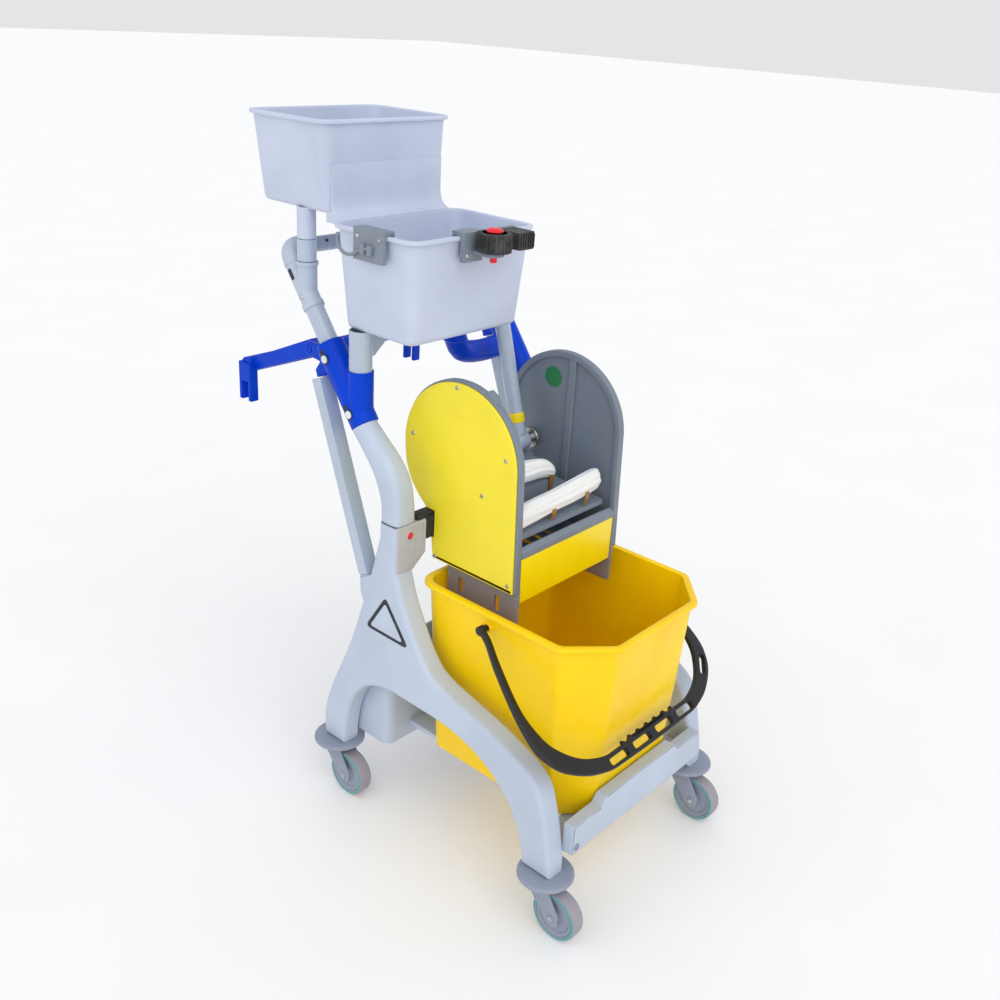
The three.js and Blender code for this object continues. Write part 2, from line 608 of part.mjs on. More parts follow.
const bailSide = [
  [BAIL_HALF, BAIL_Y, BAIL_Z],
  [187, -109, 397],
  [203, -165, 354],
  [206, -209, 320],
  [182, -239, 297],
  [145, -256, 283],
  [105, -264, 277],
];
const bailPath = [
  ...bailSide.map(([x, y, z]) => v(-x, y, z)),
  v(-60, -267, 274),
  v(60, -267, 274),
  ...bailSide.map(([x, y, z]) => v(x, y, z)).reverse(),
];
const bailPins = SIDES.map(({ s }) =>
  rod(v(s * (BAIL_HALF + 4), BAIL_Y, BAIL_Z), v(s * 154.5, BAIL_Y, BAIL_Z), BAIL_RADIUS - 0.5, 16),
);
const bailGrip = rod(v(-78, -267, 274), v(78, -267, 274), 8, 16);
part("bucket_handle", join(bentRod(bailPath, BAIL_RADIUS, 40, 8), ...bailPins, bailGrip), BLACK);

// ---------- casters ----------
const AXLE_Z = WHEEL_RADIUS;
const BUMPER_BOTTOM = 95.2;
const CAP_TOP = 94.5;
for (const { side, s } of SIDES) {
  for (const [end, e] of [["front", -1], ["rear", 1]]) {
    const name = `${end}_${side}`;
    const stem = v((s * TRACK) / 2, (e * WHEELBASE) / 2, 0);
    const axle = v(stem.x, stem.y - CASTER_TRAIL, AXLE_Z);
    const across = (from, to, radius, sides) =>
      rod(axle.clone().setX(stem.x + from), axle.clone().setX(stem.x + to), radius, sides);

    const bore = STEM_RADIUS + GAP;
    const top = LEG_Z - GAP;
    const bumper = [[bore, 95.2], [40, 95.2], [BUMPER_RADIUS, 98], [BUMPER_RADIUS, 101], [40, top], [bore, top], [bore, 95.2]];
    part(`bumper_${name}`, turned(bumper, stem, Z), CASTER_GREY);

    const cap = [[0, 82.5], [19, 82.5], [21, 85], [21, CAP_TOP], [STEM_RADIUS, CAP_TOP], [STEM_RADIUS, 112], [0, 112]];
    const cheek = polygon([[-43, 45], [-41, 31], [-30, 26], [-20, 31], [18, 76], [18, 90], [-16, 90]]);
    const cheeks = [-17.5, 13].map((x) => acrossX(cheek, 0, 4.5).translate(stem.x + x, stem.y, 0));
    const fork = join(turned(cap, stem, Z, 18), ...cheeks, across(-20, 20, AXLE_RADIUS, 10));
    part(`fork_${name}`, fork, CASTER_GREY);

    const hubFrom = axle.clone().setX(stem.x - 11);
    part(`hub_${name}`, ring(AXLE_RADIUS + GAP, HUB_RADIUS, 22, hubFrom, X, 20), CASTER_GREY);
    const half = TYRE_WIDTH / 2;
    const tread = WHEEL_RADIUS;
    const inner = HUB_RADIUS + GAP;
    const tyre = [[inner, -half], [37.5, -half], [tread, 4 - half], [tread, half - 4], [37.5, half], [inner, half], [inner, -half]];
    part(`tyre_${name}`, turned(tyre, axle, X), TYRE_GREY);
  }
}

// ---------- wringer ----------
function wringerOutline(inset) {
  const shape = new THREE.Shape();
  shape.moveTo(WRINGER_FRONT + inset, WRINGER_BOTTOM + inset);
  shape.lineTo(88 - inset, WRINGER_BOTTOM + inset);
  shape.lineTo(97 - inset, 554);
  shape.lineTo(112 - inset, 567 + inset / 2);
  shape.lineTo(139 - inset, 600 + inset / 2);
  shape.lineTo(152 - inset, 628);
  shape.absarc(ARC_Y, ARC_Z, ARC_RADIUS - inset, 0, Math.PI, false);
  shape.lineTo(WRINGER_FRONT + inset, WRINGER_BOTTOM + inset);
  return shape;
}

const PLATE_INNER = 118; // the shells are pocketed on the inside
const journal = (s, z, radius) =>
  rod(v(s * 100, SHAFT_Y, z), v(s * (SHELL_OUTER - 2.5), SHAFT_Y, z), radius + GAP, 20);
const HANGER = [SEAM_FRONT, SEAM_FRONT + 22];
for (const { side, s } of SIDES) {
  const plate = slab(wringerOutline(0), s, WRINGER_INNER, SHELL_OUTER, 1.5, 10);
  const pocket = slab(wringerOutline(10), s, WRINGER_INNER - 2, PLATE_INNER, 0, 10);
  const rib = sideBlock(s, WRINGER_INNER, PLATE_INNER + 1, 22, 36, 492, 772);
  const skirt = sideBlock(s, WRINGER_INNER, PLATE_INNER, -82, 62, 421, WRINGER_BOTTOM + 4);
  const slots = [34, -41].map((y) => sideBlock(s, 100, 120, y - 5, y + 5, 436, 462));
  const hanger = sideBlock(s, SHELL_OUTER - 8, BRACKET_INNER - 1, ...HANGER, 520, SEAM_Z + 7);
  const hangerHook = sideBlock(s, SHELL_OUTER, 163, ...HANGER, SEAM_Z + GAP, SEAM_Z + 7);
  const shell = join(cut(plate, pocket), rib, cut(skirt, ...slots), hanger, hangerHook);
  const bores = [journal(s, SHAFT_Z, SHAFT_RADIUS), journal(s, PRESS_Z, 5)];
  part(`wringer_shell_${side}`, cut(shell, ...bores), SHELL_GREY);

  const cover = slab(wringerOutline(3), s, SHELL_OUTER + GAP, WRINGER_HALF, 1, 10);
  const notch = sideBlock(s, SHELL_OUTER - 1, WRINGER_HALF + 1, HANGER[0] - 1, HANGER[1] + 1, 519, SEAM_Z + 8);
  part(`wringer_cover_${side}`, cut(cover, notch), YELLOW);
}

const BETWEEN = WRINGER_INNER - GAP;
const frontPanel = acrossX(rounded([[-80, 462], [-71, 462], [-71, 552], [-80, 546]], 2), -BETWEEN, 2 * BETWEEN);
part("front_panel", frontPanel, YELLOW);
part("back_panel", block(-BETWEEN, BETWEEN, 80, 86, 492, 552), SHELL_GREY);
const sieveSlots = [];
for (let i = 0; i < 7; i++) {
  sieveSlots.push(block(-90 + 26 * i, -78 + 26 * i, -50, 60, 480, 495));
}
const sieve = cut(block(-BETWEEN, BETWEEN, -70, 79.5, 483, 488), ...sieveSlots);
part("sieve", sieve, SHELL_GREY);

const shaftProfile = [[0, 0], [SHAFT_RADIUS, 0], [SHAFT_RADIUS, 228], [17, 228], [17, 233], [SHAFT_RADIUS, 233]];
const shaft = [...shaftProfile, [SHAFT_RADIUS, 244], [0, 244]];
part("press_shaft", turned(shaft, v(-122, SHAFT_Y, SHAFT_Z), X, 20), { color: 0xa6a8aa, roughness: 0.3, metalness: 1 });
const leverFoot = v(LEVER_X, SHAFT_Y, SHAFT_Z);
const leverTop = leverFoot.clone().addScaledVector(v(0, Math.sin(LEVER_LEAN), Math.cos(LEVER_LEAN)), LEVER_LENGTH);
const leverHub = rod(v(LEVER_X - 13, SHAFT_Y, SHAFT_Z), v(LEVER_X + 13, SHAFT_Y, SHAFT_Z), 15);
const shaftBore = rod(v(LEVER_X - 20, SHAFT_Y, SHAFT_Z), v(LEVER_X + 20, SHAFT_Y, SHAFT_Z), SHAFT_RADIUS + GAP);
part("lever", cut(join(rod(leverFoot, leverTop, LEVER_RADIUS), leverHub), shaftBore), TUBE_GREY);

const pressOutline = polygon([[98, 581], [107, 590], [98, 599], [86, 594], [64, 574], [-62, 564], [-62, 556], [68, 566]]);
const pressPlate = join(
  acrossX(pressOutline, -PRESS_HALF, 2 * PRESS_HALF),
  rod(v(-121, SHAFT_Y, PRESS_Z), v(121, SHAFT_Y, PRESS_Z), 5, 16),
  block(-96, 36, -7, 7, 562, 601),
);
part("press_plate", pressPlate, SHELL_GREY);

const wrapSection = ([x, y, z, halfY, halfZ]) => {
  const ringPoints = [];
  for (let i = 0; i < 12; i++) {
    const angle = (i * Math.PI) / 6;
    ringPoints.push(v(x, y + halfY * Math.cos(angle), z + halfZ * Math.sin(angle)));
  }
  return ringPoints;
};
const wrapFront = [[-108, -50, 584, 11, 16], [-60, -50, 588, 13, 19], [40, -50, 594, 13, 19], [96, -50, 600, 11, 16]];
part("press_wrap_front", loft(wrapFront.map(wrapSection)), WHITE);
const wrapBack = [[-108, 0, 622, 10, 16], [-40, 0, 626, 12, 16], [20, 0, 622, 12, 15], [48, 0, 610, 9, 10]];
part("press_wrap_back", loft(wrapBack.map(wrapSection)), WHITE);

// ---------- origin at the middle of the footprint, on the ground ----------
const bounds = new THREE.Box3().setFromObject(cart);
const middle = bounds.getCenter(v(0, 0, 0));
const root = new THREE.Group();
cart.position.set(-middle.x, -middle.y, -bounds.min.z);
root.add(cart);

export default root;
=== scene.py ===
"""Housekeeping cart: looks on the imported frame.

Lengths are millimetres from the floor midway between the caster stems, and P() turns them into metres in the row
frame. The bucket is at the front, -Y, and the push bar at the rear, +Y."""
import math
import random

import bmesh
import bpy
from mathutils import Matrix, Vector


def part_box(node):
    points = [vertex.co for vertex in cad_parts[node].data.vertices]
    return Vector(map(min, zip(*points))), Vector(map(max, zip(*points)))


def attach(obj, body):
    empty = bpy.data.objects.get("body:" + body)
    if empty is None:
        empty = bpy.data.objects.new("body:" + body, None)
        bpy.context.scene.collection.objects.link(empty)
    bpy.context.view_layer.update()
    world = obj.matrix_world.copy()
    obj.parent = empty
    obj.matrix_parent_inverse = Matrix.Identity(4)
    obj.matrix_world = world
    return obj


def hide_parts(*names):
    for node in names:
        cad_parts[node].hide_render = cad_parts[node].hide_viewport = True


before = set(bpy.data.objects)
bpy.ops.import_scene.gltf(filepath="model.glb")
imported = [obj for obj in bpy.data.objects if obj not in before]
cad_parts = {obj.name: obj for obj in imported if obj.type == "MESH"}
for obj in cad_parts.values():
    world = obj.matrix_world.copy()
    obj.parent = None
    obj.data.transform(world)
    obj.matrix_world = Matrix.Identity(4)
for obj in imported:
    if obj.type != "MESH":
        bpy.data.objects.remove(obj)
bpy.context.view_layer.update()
random.seed(7)

SIDES = (("left", -1), ("right", 1))
BAR_Y, BAR_Z = 356, 921  # middle of the push bar
TUBE_X = 185  # middle of the slanted and vertical tubes, either side
SHARP_DEG = 38  # edges sharper than this are shaded as edges

low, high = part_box("push_bar")
SHIFT = (low.y + high.y) / 2 - BAR_Y / 1000


def P(x, y, z):
    return Vector((x / 1000, y / 1000 + SHIFT, z / 1000))


def link_new(name, data):
    made = bpy.data.objects.new(name, data)
    bpy.context.scene.collection.objects.link(made)
    return made


# ---------- camera and light ----------
def aim_camera():
    yaw, pitch, roll = math.radians(49.8), math.radians(24.2), math.radians(3.7)
    ahead = Vector((math.sin(yaw) * math.cos(pitch), math.cos(yaw) * math.cos(pitch), -math.sin(pitch)))
    right = Vector((math.cos(yaw), -math.sin(yaw), 0))
    up = right.cross(ahead)
    turned_right = right * math.cos(roll) + up * math.sin(roll)
    turned_up = up * math.cos(roll) - right * math.sin(roll)
    data = bpy.data.cameras.new("camera")
    data.lens = 39.36
    data.sensor_width = 36
    camera = link_new("camera", data)
    turn = Matrix((turned_right, turned_up, -ahead)).transposed().to_4x4()
    camera.matrix_world = Matrix.Translation(P(-1221.1, -967.6, 1268.2)) @ turn
    bpy.context.scene.camera = camera


def sun(name, direction, strength, angle):
    """A broad soft light that comes along a direction and doesn't fall off, so the floor stays even."""
    data = bpy.data.lights.new(name, "SUN")
    data.energy = strength
    data.angle = math.radians(angle)
    lamp = link_new(name, data)
    lamp.rotation_euler = Vector(direction).to_track_quat("-Z", "Y").to_euler()


aim_camera()
sun("key", (0.35, 0.75, -0.75), 0.85, 60)
sun("side", (0.85, 0.1, -0.6), 0.45, 80)
world = bpy.data.worlds.new("studio")
world.use_nodes = True
world.node_tree.nodes["Background"].inputs["Color"].default_value = (0.97, 0.98, 1.0, 1)
world.node_tree.nodes["Background"].inputs["Strength"].default_value = 0.8
bpy.context.scene.world = world
bpy.context.scene.view_settings.view_transform = "Standard"


# ---------- materials ----------
class Nodes:
    """A material's node tree, with short ways to add and link nodes."""

    def __init__(self, name):
        self.material = bpy.data.materials.new(name)
        self.material.use_nodes = True
        self.tree = self.material.node_tree
        self.shader = self.tree.nodes["Principled BSDF"]
        self.place = self.add("ShaderNodeTexCoord").outputs["Object"]

    def add(self, kind, **values):
        node = self.tree.nodes.new(kind)
        for key, value in values.items():
            if hasattr(node, key):
                setattr(node, key, value)
            else:
                node.inputs[key].default_value = value
        return node

    def link(self, source, target):
        self.tree.links.new(source, target)

    def noise(self, scale, detail=3.0, stretch=None):
        node = self.add("ShaderNodeTexNoise")
        node.inputs["Scale"].default_value = scale
        node.inputs["Detail"].default_value = detail
        if stretch:
            mapping = self.add("ShaderNodeMapping")
            mapping.inputs["Scale"].default_value = stretch
            self.link(self.place, mapping.inputs["Vector"])
            self.link(mapping.outputs["Vector"], node.inputs["Vector"])
        else:
            self.link(self.place, node.inputs["Vector"])
        return node.outputs["Fac"]

    def remap(self, value, low_in, high_in, low_out, high_out):
        node = self.add("ShaderNodeMapRange")
        for key, number in (("From Min", low_in), ("From Max", high_in), ("To Min", low_out), ("To Max", high_out)):
            node.inputs[key].default_value = number
        self.link(value, node.inputs["Value"])
        return node.outputs["Result"]

    def mix(self, fac, first, second):
        node = self.add("ShaderNodeMix", data_type="RGBA")
        self.link(fac, node.inputs["Factor"])
        for socket, value in ((node.inputs[6], first), (node.inputs[7], second)):
            if isinstance(value, tuple):
                socket.default_value = (*value, 1)
            else:
                self.link(value, socket)
        return node.outputs[2]

    def bump(self, height, strength, distance, under=None):
        node = self.add("ShaderNodeBump")
        node.inputs["Strength"].default_value = strength
        node.inputs["Distance"].default_value = distance
        self.link(height, node.inputs["Height"])
        if under:
            self.link(under, node.inputs["Normal"])
        return node.outputs["Normal"]


def linear(hex_colour):
    values = [int(hex_colour[i : i + 2], 16) / 255 for i in (0, 2, 4)]
    return tuple(c / 12.92 if c <= 0.04045 else ((c + 0.055) / 1.055) ** 2.4 for c in values)


def scaled(colour, k):
    return tuple(min(1, c * k) for c in colour)


def plastic(name, hex_colour, rough=0.4, grain=0.12, grain_scale=1600, wear=0.35, coat=0.0, glow=0.0, shine=0.4):
    """Moulded plastic: fine spark-eroded grain, slow colour drift, and dull rubbed patches with faint scratches."""
    n = Nodes(name)
    colour = linear(hex_colour)
    drift = n.remap(n.noise(9, 2), 0.35, 0.65, 0, 1)
    base = n.mix(drift, scaled(colour, 0.95), scaled(colour, 1.04))
    scratch = n.remap(n.noise(70, 6, (1, 7, 1)), 0.62, 0.75, 0, wear)
    worn = n.mix(scratch, base, tuple(0.75 * c + 0.2 for c in colour))
    n.link(worn, n.shader.inputs["Base Color"])
    patches = n.remap(n.noise(24, 5), 0.3, 0.7, rough - 0.07, rough + 0.1)
    n.link(patches, n.shader.inputs["Roughness"])
    fine = n.bump(n.noise(grain_scale, 2), grain, 0.0004)
    n.link(n.bump(n.noise(14, 2), 0.06, 0.004, fine), n.shader.inputs["Normal"])
    n.shader.inputs["Specular IOR Level"].default_value = shine
    n.shader.inputs["Coat Weight"].default_value = coat
    n.shader.inputs["Coat Roughness"].default_value = 0.2
    if glow:
        n.shader.inputs["Subsurface Weight"].default_value = glow
        n.shader.inputs["Subsurface Radius"].default_value = (0.004, 0.003, 0.001)
        n.shader.inputs["Subsurface Scale"].default_value = 1.0
    return n.material


def painted(name, hex_colour, rough=0.22):
    """Powder-coated tube: orange peel, a clear coat and a few chips of darker metal."""
    n = Nodes(name)
    colour = linear(hex_colour)
    base = n.mix(n.remap(n.noise(12, 2), 0.3, 0.7, 0, 1), scaled(colour, 0.95), scaled(colour, 1.04))
    chips = n.remap(n.noise(160, 4), 0.74, 0.77, 0, 0.7)
    n.link(n.mix(chips, base, scaled(colour, 0.4)), n.shader.inputs["Base Color"])
    n.link(n.remap(n.noise(40, 4), 0.3, 0.7, rough - 0.05, rough + 0.1), n.shader.inputs["Roughness"])
    n.link(n.bump(n.noise(420, 2), 0.1, 0.0005), n.shader.inputs["Normal"])
    n.shader.inputs["Coat Weight"].default_value = 0.35
    n.shader.inputs["Coat Roughness"].default_value = 0.12
    return n.material


def steel(name, shade=0.62, rough=0.28):
    """Worn bright steel with drawn lines and duller patches."""
    n = Nodes(name)
    base = n.mix(n.remap(n.noise(60, 5), 0.35, 0.65, 0, 1), (shade,) * 3, (shade * 0.55, shade * 0.52, shade * 0.48))
    n.link(base, n.shader.inputs["Base Color"])
    n.shader.inputs["Metallic"].default_value = 1.0
    n.link(n.remap(n.noise(300, 4, (9, 1, 1)), 0.3, 0.7, rough - 0.08, rough + 0.2), n.shader.inputs["Roughness"])
    n.link(n.bump(n.noise(500, 3, (12, 1, 1)), 0.12, 0.0003), n.shader.inputs["Normal"])
    return n.material


def rubber(name, hex_colour, rough, grain_scale=900):
    """Matt rubber with dust rubbed into it."""
    n = Nodes(name)
    colour = linear(hex_colour)
    dust = n.remap(n.noise(45, 6), 0.45, 0.75, 0, 0.5)
    n.link(n.mix(dust, colour, tuple(0.6 * c + 0.12 for c in colour)), n.shader.inputs["Base Color"])
    n.link(n.remap(n.noise(80, 4), 0.3, 0.7, rough - 0.1, rough + 0.12), n.shader.inputs["Roughness"])
    n.link(n.bump(n.noise(grain_scale, 4), 0.25, 0.0005), n.shader.inputs["Normal"])
    return n.material


def cloth(name, hex_colour):
    """Soft non-woven cloth: felted fibres, a faint weave and soft creases."""
    n = Nodes(name)
    colour = linear(hex_colour)
    fibre = n.noise(900, 6, (1, 3, 1))
    n.link(n.mix(n.remap(fibre, 0.3, 0.7, 0, 1), scaled(colour, 0.9), colour), n.shader.inputs["Base Color"])
    n.shader.inputs["Roughness"].default_value = 0.92
    n.shader.inputs["Sheen Weight"].default_value = 0.3
    wave = n.add("ShaderNodeTexWave")
    wave.inputs["Scale"].default_value = 420
    wave.inputs["Distortion"].default_value = 1.5
    n.link(n.place, wave.inputs["Vector"])
    fine = n.bump(wave.outputs["Fac"], 0.12, 0.0003)
    soft = n.bump(fibre, 0.3, 0.0006, fine)
    n.link(n.bump(n.noise(45, 3, (1, 4, 2)), 0.5, 0.003, soft), n.shader.inputs["Normal"])
    return n.material


def tape(name, hex_colour):
    """Glossy packing tape with streaks along it and a few wrinkles."""
    n = Nodes(name)
    colour = linear(hex_colour)
    streaks = n.noise(120, 3, (1, 1, 8))
    brown = n.mix(n.remap(streaks, 0.35, 0.65, 0, 1), scaled(colour, 0.75), scaled(colour, 1.15))
    n.link(brown, n.shader.inputs["Base Color"])
    n.shader.inputs["Roughness"].default_value = 0.3
    n.link(n.bump(n.noise(60, 3), 0.3, 0.001), n.shader.inputs["Normal"])
    return n.material


M = {
    "frame": plastic("frame_plastic", "B9C4D6", 0.42, 0.16, 1500, 0.3),
    "tub": plastic("tub_plastic", "C3CBDF", 0.4, 0.14, 1600, 0.3),
    "blue": plastic("blue_plastic", "003EC6", 0.34, 0.1, 1500, 0.04, 0.0, 0.0, 0.12),
    "tube": painted("painted_tube", "AEBACB"),
    "joint": plastic("joint_plastic", "B2BDCD", 0.38, 0.12),
    "clip": plastic("clip_grey", "7F8894", 0.5, 0.2),
    "black_rubber": rubber("black_rubber", "161618", 0.55),
    "red": plastic("red_plastic", "E8202A", 0.3, 0.08),
    "bucket": plastic("yellow_bucket", "FFD200", 0.3, 0.06, 1500, 0.12, 0.0, 0.04, 0.3),
    "black": plastic("black_plastic", "1B1B1F", 0.36, 0.14, 1500, 0.2),
    "caster": plastic("caster_plastic", "8F97A8", 0.5, 0.2),
    "tyre": rubber("tyre_rubber", "9A949E", 0.6, 500),
    "teal": rubber("teal_ring", "22A8A6", 0.5),
    "shell": plastic("wringer_grey", "78828F", 0.42, 0.16),
    "skirt": plastic("skirt_grey", "8A8589", 0.42, 0.14),
    "warm": plastic("bracket_grey", "B4B6BE", 0.42, 0.14),
    "panel": plastic("yellow_panel", "F4E02C", 0.34, 0.1, 1500, 0.25, 0.1),
    "bright": plastic("yellow_front", "FFE200", 0.34, 0.1, 1500, 0.2, 0.1),
    "steel": steel("worn_steel"),
    "white": cloth("white_cloth", "F4F4F2"),
    "tape": tape("brown_tape", "9C6C14"),
    "green": plastic("green_disc", "0A7A42", 0.35, 0.05),
    # painted shade: a flat dark grey laid over holes, slots, grooves and gaps where only shade falls
    "dark": plastic("painted_shade_fill", "2A2D33", 0.6, 0.2),
    "mark": plastic("mark_white", "D9DFE8", 0.4, 0.08),
}


# ---------- mesh helpers ----------
def outward_mesh(name, verts, faces):
    """A mesh whose faces all point outwards."""
    mesh = bpy.data.meshes.new(name)
    mesh.from_pydata([tuple(v) for v in verts], [], faces)
    b = bmesh.new()
    b.from_mesh(mesh)
    bmesh.ops.recalc_face_normals(b, faces=b.faces)
    b.to_mesh(mesh)
    b.free()
    return mesh


def piece(name, verts, faces, material, body, slot, replaces=(), smooth=SHARP_DEG):
    """A visible piece that rides on a body and takes the place of the CAD nodes in replaces."""
    mesh = outward_mesh(name, verts, faces)
    mesh.materials.append(M[material])
    mesh.polygons.foreach_set("use_smooth", [True] * len(mesh.polygons))
    mesh.set_sharp_from_angle(angle=math.radians(smooth))
    made = link_new(name, mesh)
    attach(made, body)
    if replaces:
        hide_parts(*replaces)
    return made


def soften(obj, width, segments):
    """Rounds the edges of an object, width in millimetres."""
    weld = obj.modifiers.new("weld", "WELD")
    weld.merge_threshold = 0.00002
    bevel = obj.modifiers.new("bevel", "BEVEL")
    bevel.width = width / 1000
    bevel.segments = segments
    bevel.limit_method = "ANGLE"
    bevel.angle_limit = math.radians(35)
    bevel.miter_outer = "MITER_ARC"
    obj.modifiers.new("normals", "WEIGHTED_NORMAL").keep_sharp = True


def subtract(obj, cutter):
    """Cuts a tool mesh out of a piece and applies it."""
    cut = obj.modifiers.new("cut", "BOOLEAN")
    cut.operation = "DIFFERENCE"
    cut.object = cutter
    cut.solver = "EXACT"
    depsgraph = bpy.context.evaluated_depsgraph_get()
    done = bpy.data.meshes.new_from_object(obj.evaluated_get(depsgraph))
    obj.modifiers.remove(cut)
    obj.data = done
    done.set_sharp_from_angle(angle=math.radians(SHARP_DEG))
    bpy.data.objects.remove(cutter)


def tool(name, verts, faces):
    """A shape for subtract(), which removes it again."""
    return link_new(name, outward_mesh(name, verts, faces))


def stitch(rings):
    """Vertices and faces through rings with the same number of points, closed at both ends."""
    count, total = len(rings[0]), len(rings)
    verts = [p for ring in rings for p in ring]
    faces = []
    for r in range(total - 1):
        for i in range(count):
            j = (i + 1) % count
            faces.append((r * count + i, r * count + j, (r + 1) * count + j, (r + 1) * count + i))
    faces.append(tuple(reversed(range(count))))
    faces.append(tuple(range((total - 1) * count, total * count)))
    return verts, faces


def normals_2d(points):
    """The outward normal at each corner of an anticlockwise outline, long enough to inset both its edges evenly."""
    out = []
    for i, (x, y) in enumerate(points):
        ax, ay = points[i - 1]
        bx, by = points[(i + 1) % len(points)]
        d0 = Vector((x - ax, y - ay)).normalized()
        d1 = Vector((bx - x, by - y)).normalized()
        n0, n1 = Vector((d0.y, -d0.x)), Vector((d1.y, -d1.x))
        n = (n0 + n1).normalized()
        out.append(n / max(0.5, n.dot(n0)))
    return out


def stack(points, levels, lay):
    """Rings of one anticlockwise outline, each inset and at its own offset; lay turns (u, v, w) into a place."""
    ns = normals_2d(points)
    return stitch([[lay(x - n.x * inset, y - n.y * inset, w) for (x, y), n in zip(points, ns)] for inset, w in levels])


def rounded_stack(corners, radii, levels, lay, steps=9):
    """Rings of one anticlockwise polygon, each truly inset, with corners that tighten as it shrinks."""
    ns = normals_2d(corners)
    rings = []
    for inset, w in levels:
        moved = [(x - n.x * inset, y - n.y * inset) for (x, y), n in zip(corners, ns)]
        rings.append([lay(u, v, w) for u, v in rounded(moved, [max(5, r - 0.7 * inset) for r in radii], steps)])
    return stitch(rings)


def round_levels(w0, w1, r, steps=4):
    """Levels of a slab from w0 to w1 whose edges are rounded by r."""
    s = 1 if w1 > w0 else -1
    arc = [(r * (1 - math.sin(t)), r * (1 - math.cos(t))) for t in (math.pi / 2 * k / steps for k in range(steps + 1))]
    return [(i, w0 + s * d) for i, d in arc] + [(i, w1 - s * d) for i, d in reversed(arc)]


def lay_x(u, v, w):
    return P(w, u, v)


def lay_y(u, v, w):
    return P(u, w, v)


def lay_z(u, v, w):
    return P(u, v, w)


def spline(points, steps=10):
    """Points along a uniform Catmull-Rom curve through all the given ones."""
    out = []
    n = len(points)
    for i in range(n - 1):
        p0, p1, p2, p3 = (Vector(points[max(0, min(n - 1, k))]) for k in (i - 1, i, i + 1, i + 2))
        for k in range(steps):
            t = k / steps
            a = 2 * p1 + (p2 - p0) * t + (2 * p0 - 5 * p1 + 4 * p2 - p3) * t * t + (3 * p1 - p0 - 3 * p2 + p3) * t**3
            out.append(a / 2)
    out.append(Vector(points[-1]))
    return out


def bezier(a, b, c, d, steps=14):
    out = []
    for k in range(steps + 1):
        t = k / steps
        near_half = (1 - t) ** 3 * Vector(a) + 3 * (1 - t) ** 2 * t * Vector(b)
        out.append(near_half + 3 * (1 - t) * t * t * Vector(c) + t**3 * Vector(d))
    return out


def rounded(points, radius, steps=6):
    """An outline with its corners rounded: one radius for all, or a list with one for each."""
    out = []
    radii = radius if isinstance(radius, (list, tuple)) else [radius] * len(points)
    for i, corner in enumerate(points):
        c = Vector(corner)
        a = Vector(points[i - 1])
        b = Vector(points[(i + 1) % len(points)])
        r = radii[i]
        if r <= 0:
            out.append(tuple(c))
            continue
        da, db = (a - c).normalized(), (b - c).normalized()
        half = da.angle(db) / 2
        reach = min(r / math.tan(half), 0.49 * (a - c).length, 0.49 * (b - c).length)
        start, end = c + da * reach, c + db * reach
        for k in range(steps + 1):
            t = k / steps
            out.append(tuple((1 - t) ** 2 * start + 2 * (1 - t) * t * c + t * t * end))
    return out


def box_outline(x0, x1, y0, y1, r, steps=6):
    return rounded([(x0, y0), (x1, y0), (x1, y1), (x0, y1)], r, steps)


def basis(direction):
    """Two directions at right angles to the given one, and that one."""
    d = Vector(direction).normalized()
    side = Vector((1, 0, 0)) if abs(d.x) < 0.9 else Vector((0, 1, 0))
    u = (side - d * side.dot(d)).normalized()
    return u, d.cross(u), d


def lathe(profile, origin, direction, segments=48):
    """A body of revolution from (radius, height) pairs, both in millimetres, about a line from origin."""
    u, w, d = basis(direction)
    o = Vector(origin)
    verts, faces, rows = [], [], []
    for r, h in profile:
        if r < 1e-6:
            rows.append([len(verts)] * segments)
            verts.append(o + d * h / 1000)
        else:
            rows.append(list(range(len(verts), len(verts) + segments)))
            for k in range(segments):
                a = 2 * math.pi * k / segments
                verts.append(o + (u * math.cos(a) + w * math.sin(a)) * r / 1000 + d * h / 1000)
    for lower, upper in zip(rows, rows[1:]):
        for k in range(segments):
            j = (k + 1) % segments
            face = []
            for i in (lower[k], lower[j], upper[j], upper[k]):
                if i not in face:
                    face.append(i)
            if len(face) > 2:
                faces.append(tuple(face))
    return verts, faces


def tube(a, b, radius, wall=2.0, segments=44):
    """A hollow round tube with slightly rounded ends, between two places in the row frame."""
    length = (b - a).length * 1000
    inner = radius - wall
    profile = [(inner, 0.4), (inner + 0.4, 0), (radius - 0.5, 0), (radius, 0.5), (radius, length - 0.5)]
    profile += [(radius - 0.5, length), (inner + 0.4, length), (inner, length - 0.4), (inner, 0.4)]
    return lathe(profile, a, b - a, segments)


def sweep(points, section, up=Vector((0, 0, 1))):
    """A section of (u, v) in millimetres carried along points in the row frame, with flat ends."""
    rings = []
    for i, p in enumerate(points):
        ahead = (points[min(i + 1, len(points) - 1)] - points[max(i - 1, 0)]).normalized()
        side = ahead.cross(up)
        if side.length < 1e-3:
            side = ahead.cross(Vector((1, 0, 0)))
        side.normalize()
        top = side.cross(ahead).normalized()
        rings.append([p + side * u / 1000 + top * w / 1000 for u, w in section])
    return stitch(rings)


def circle(radius, segments):
    angles = [2 * math.pi * k / segments for k in range(segments)]
    return [(radius * math.cos(a), radius * math.sin(a)) for a in angles]


def merge(*parts):
    """One list of vertices and one of faces from several."""
    verts, faces = [], []
    for v, f in parts:
        base = len(verts)
        verts += list(v)
        faces += [tuple(i + base for i in face) for face in f]
    return verts, faces


def slab(outline, w0, w1, r, lay, steps=3):
    """A plate of the given outline from w0 to w1, its edges rounded by r."""
    return stack(outline, round_levels(w0, w1, r, steps), lay)


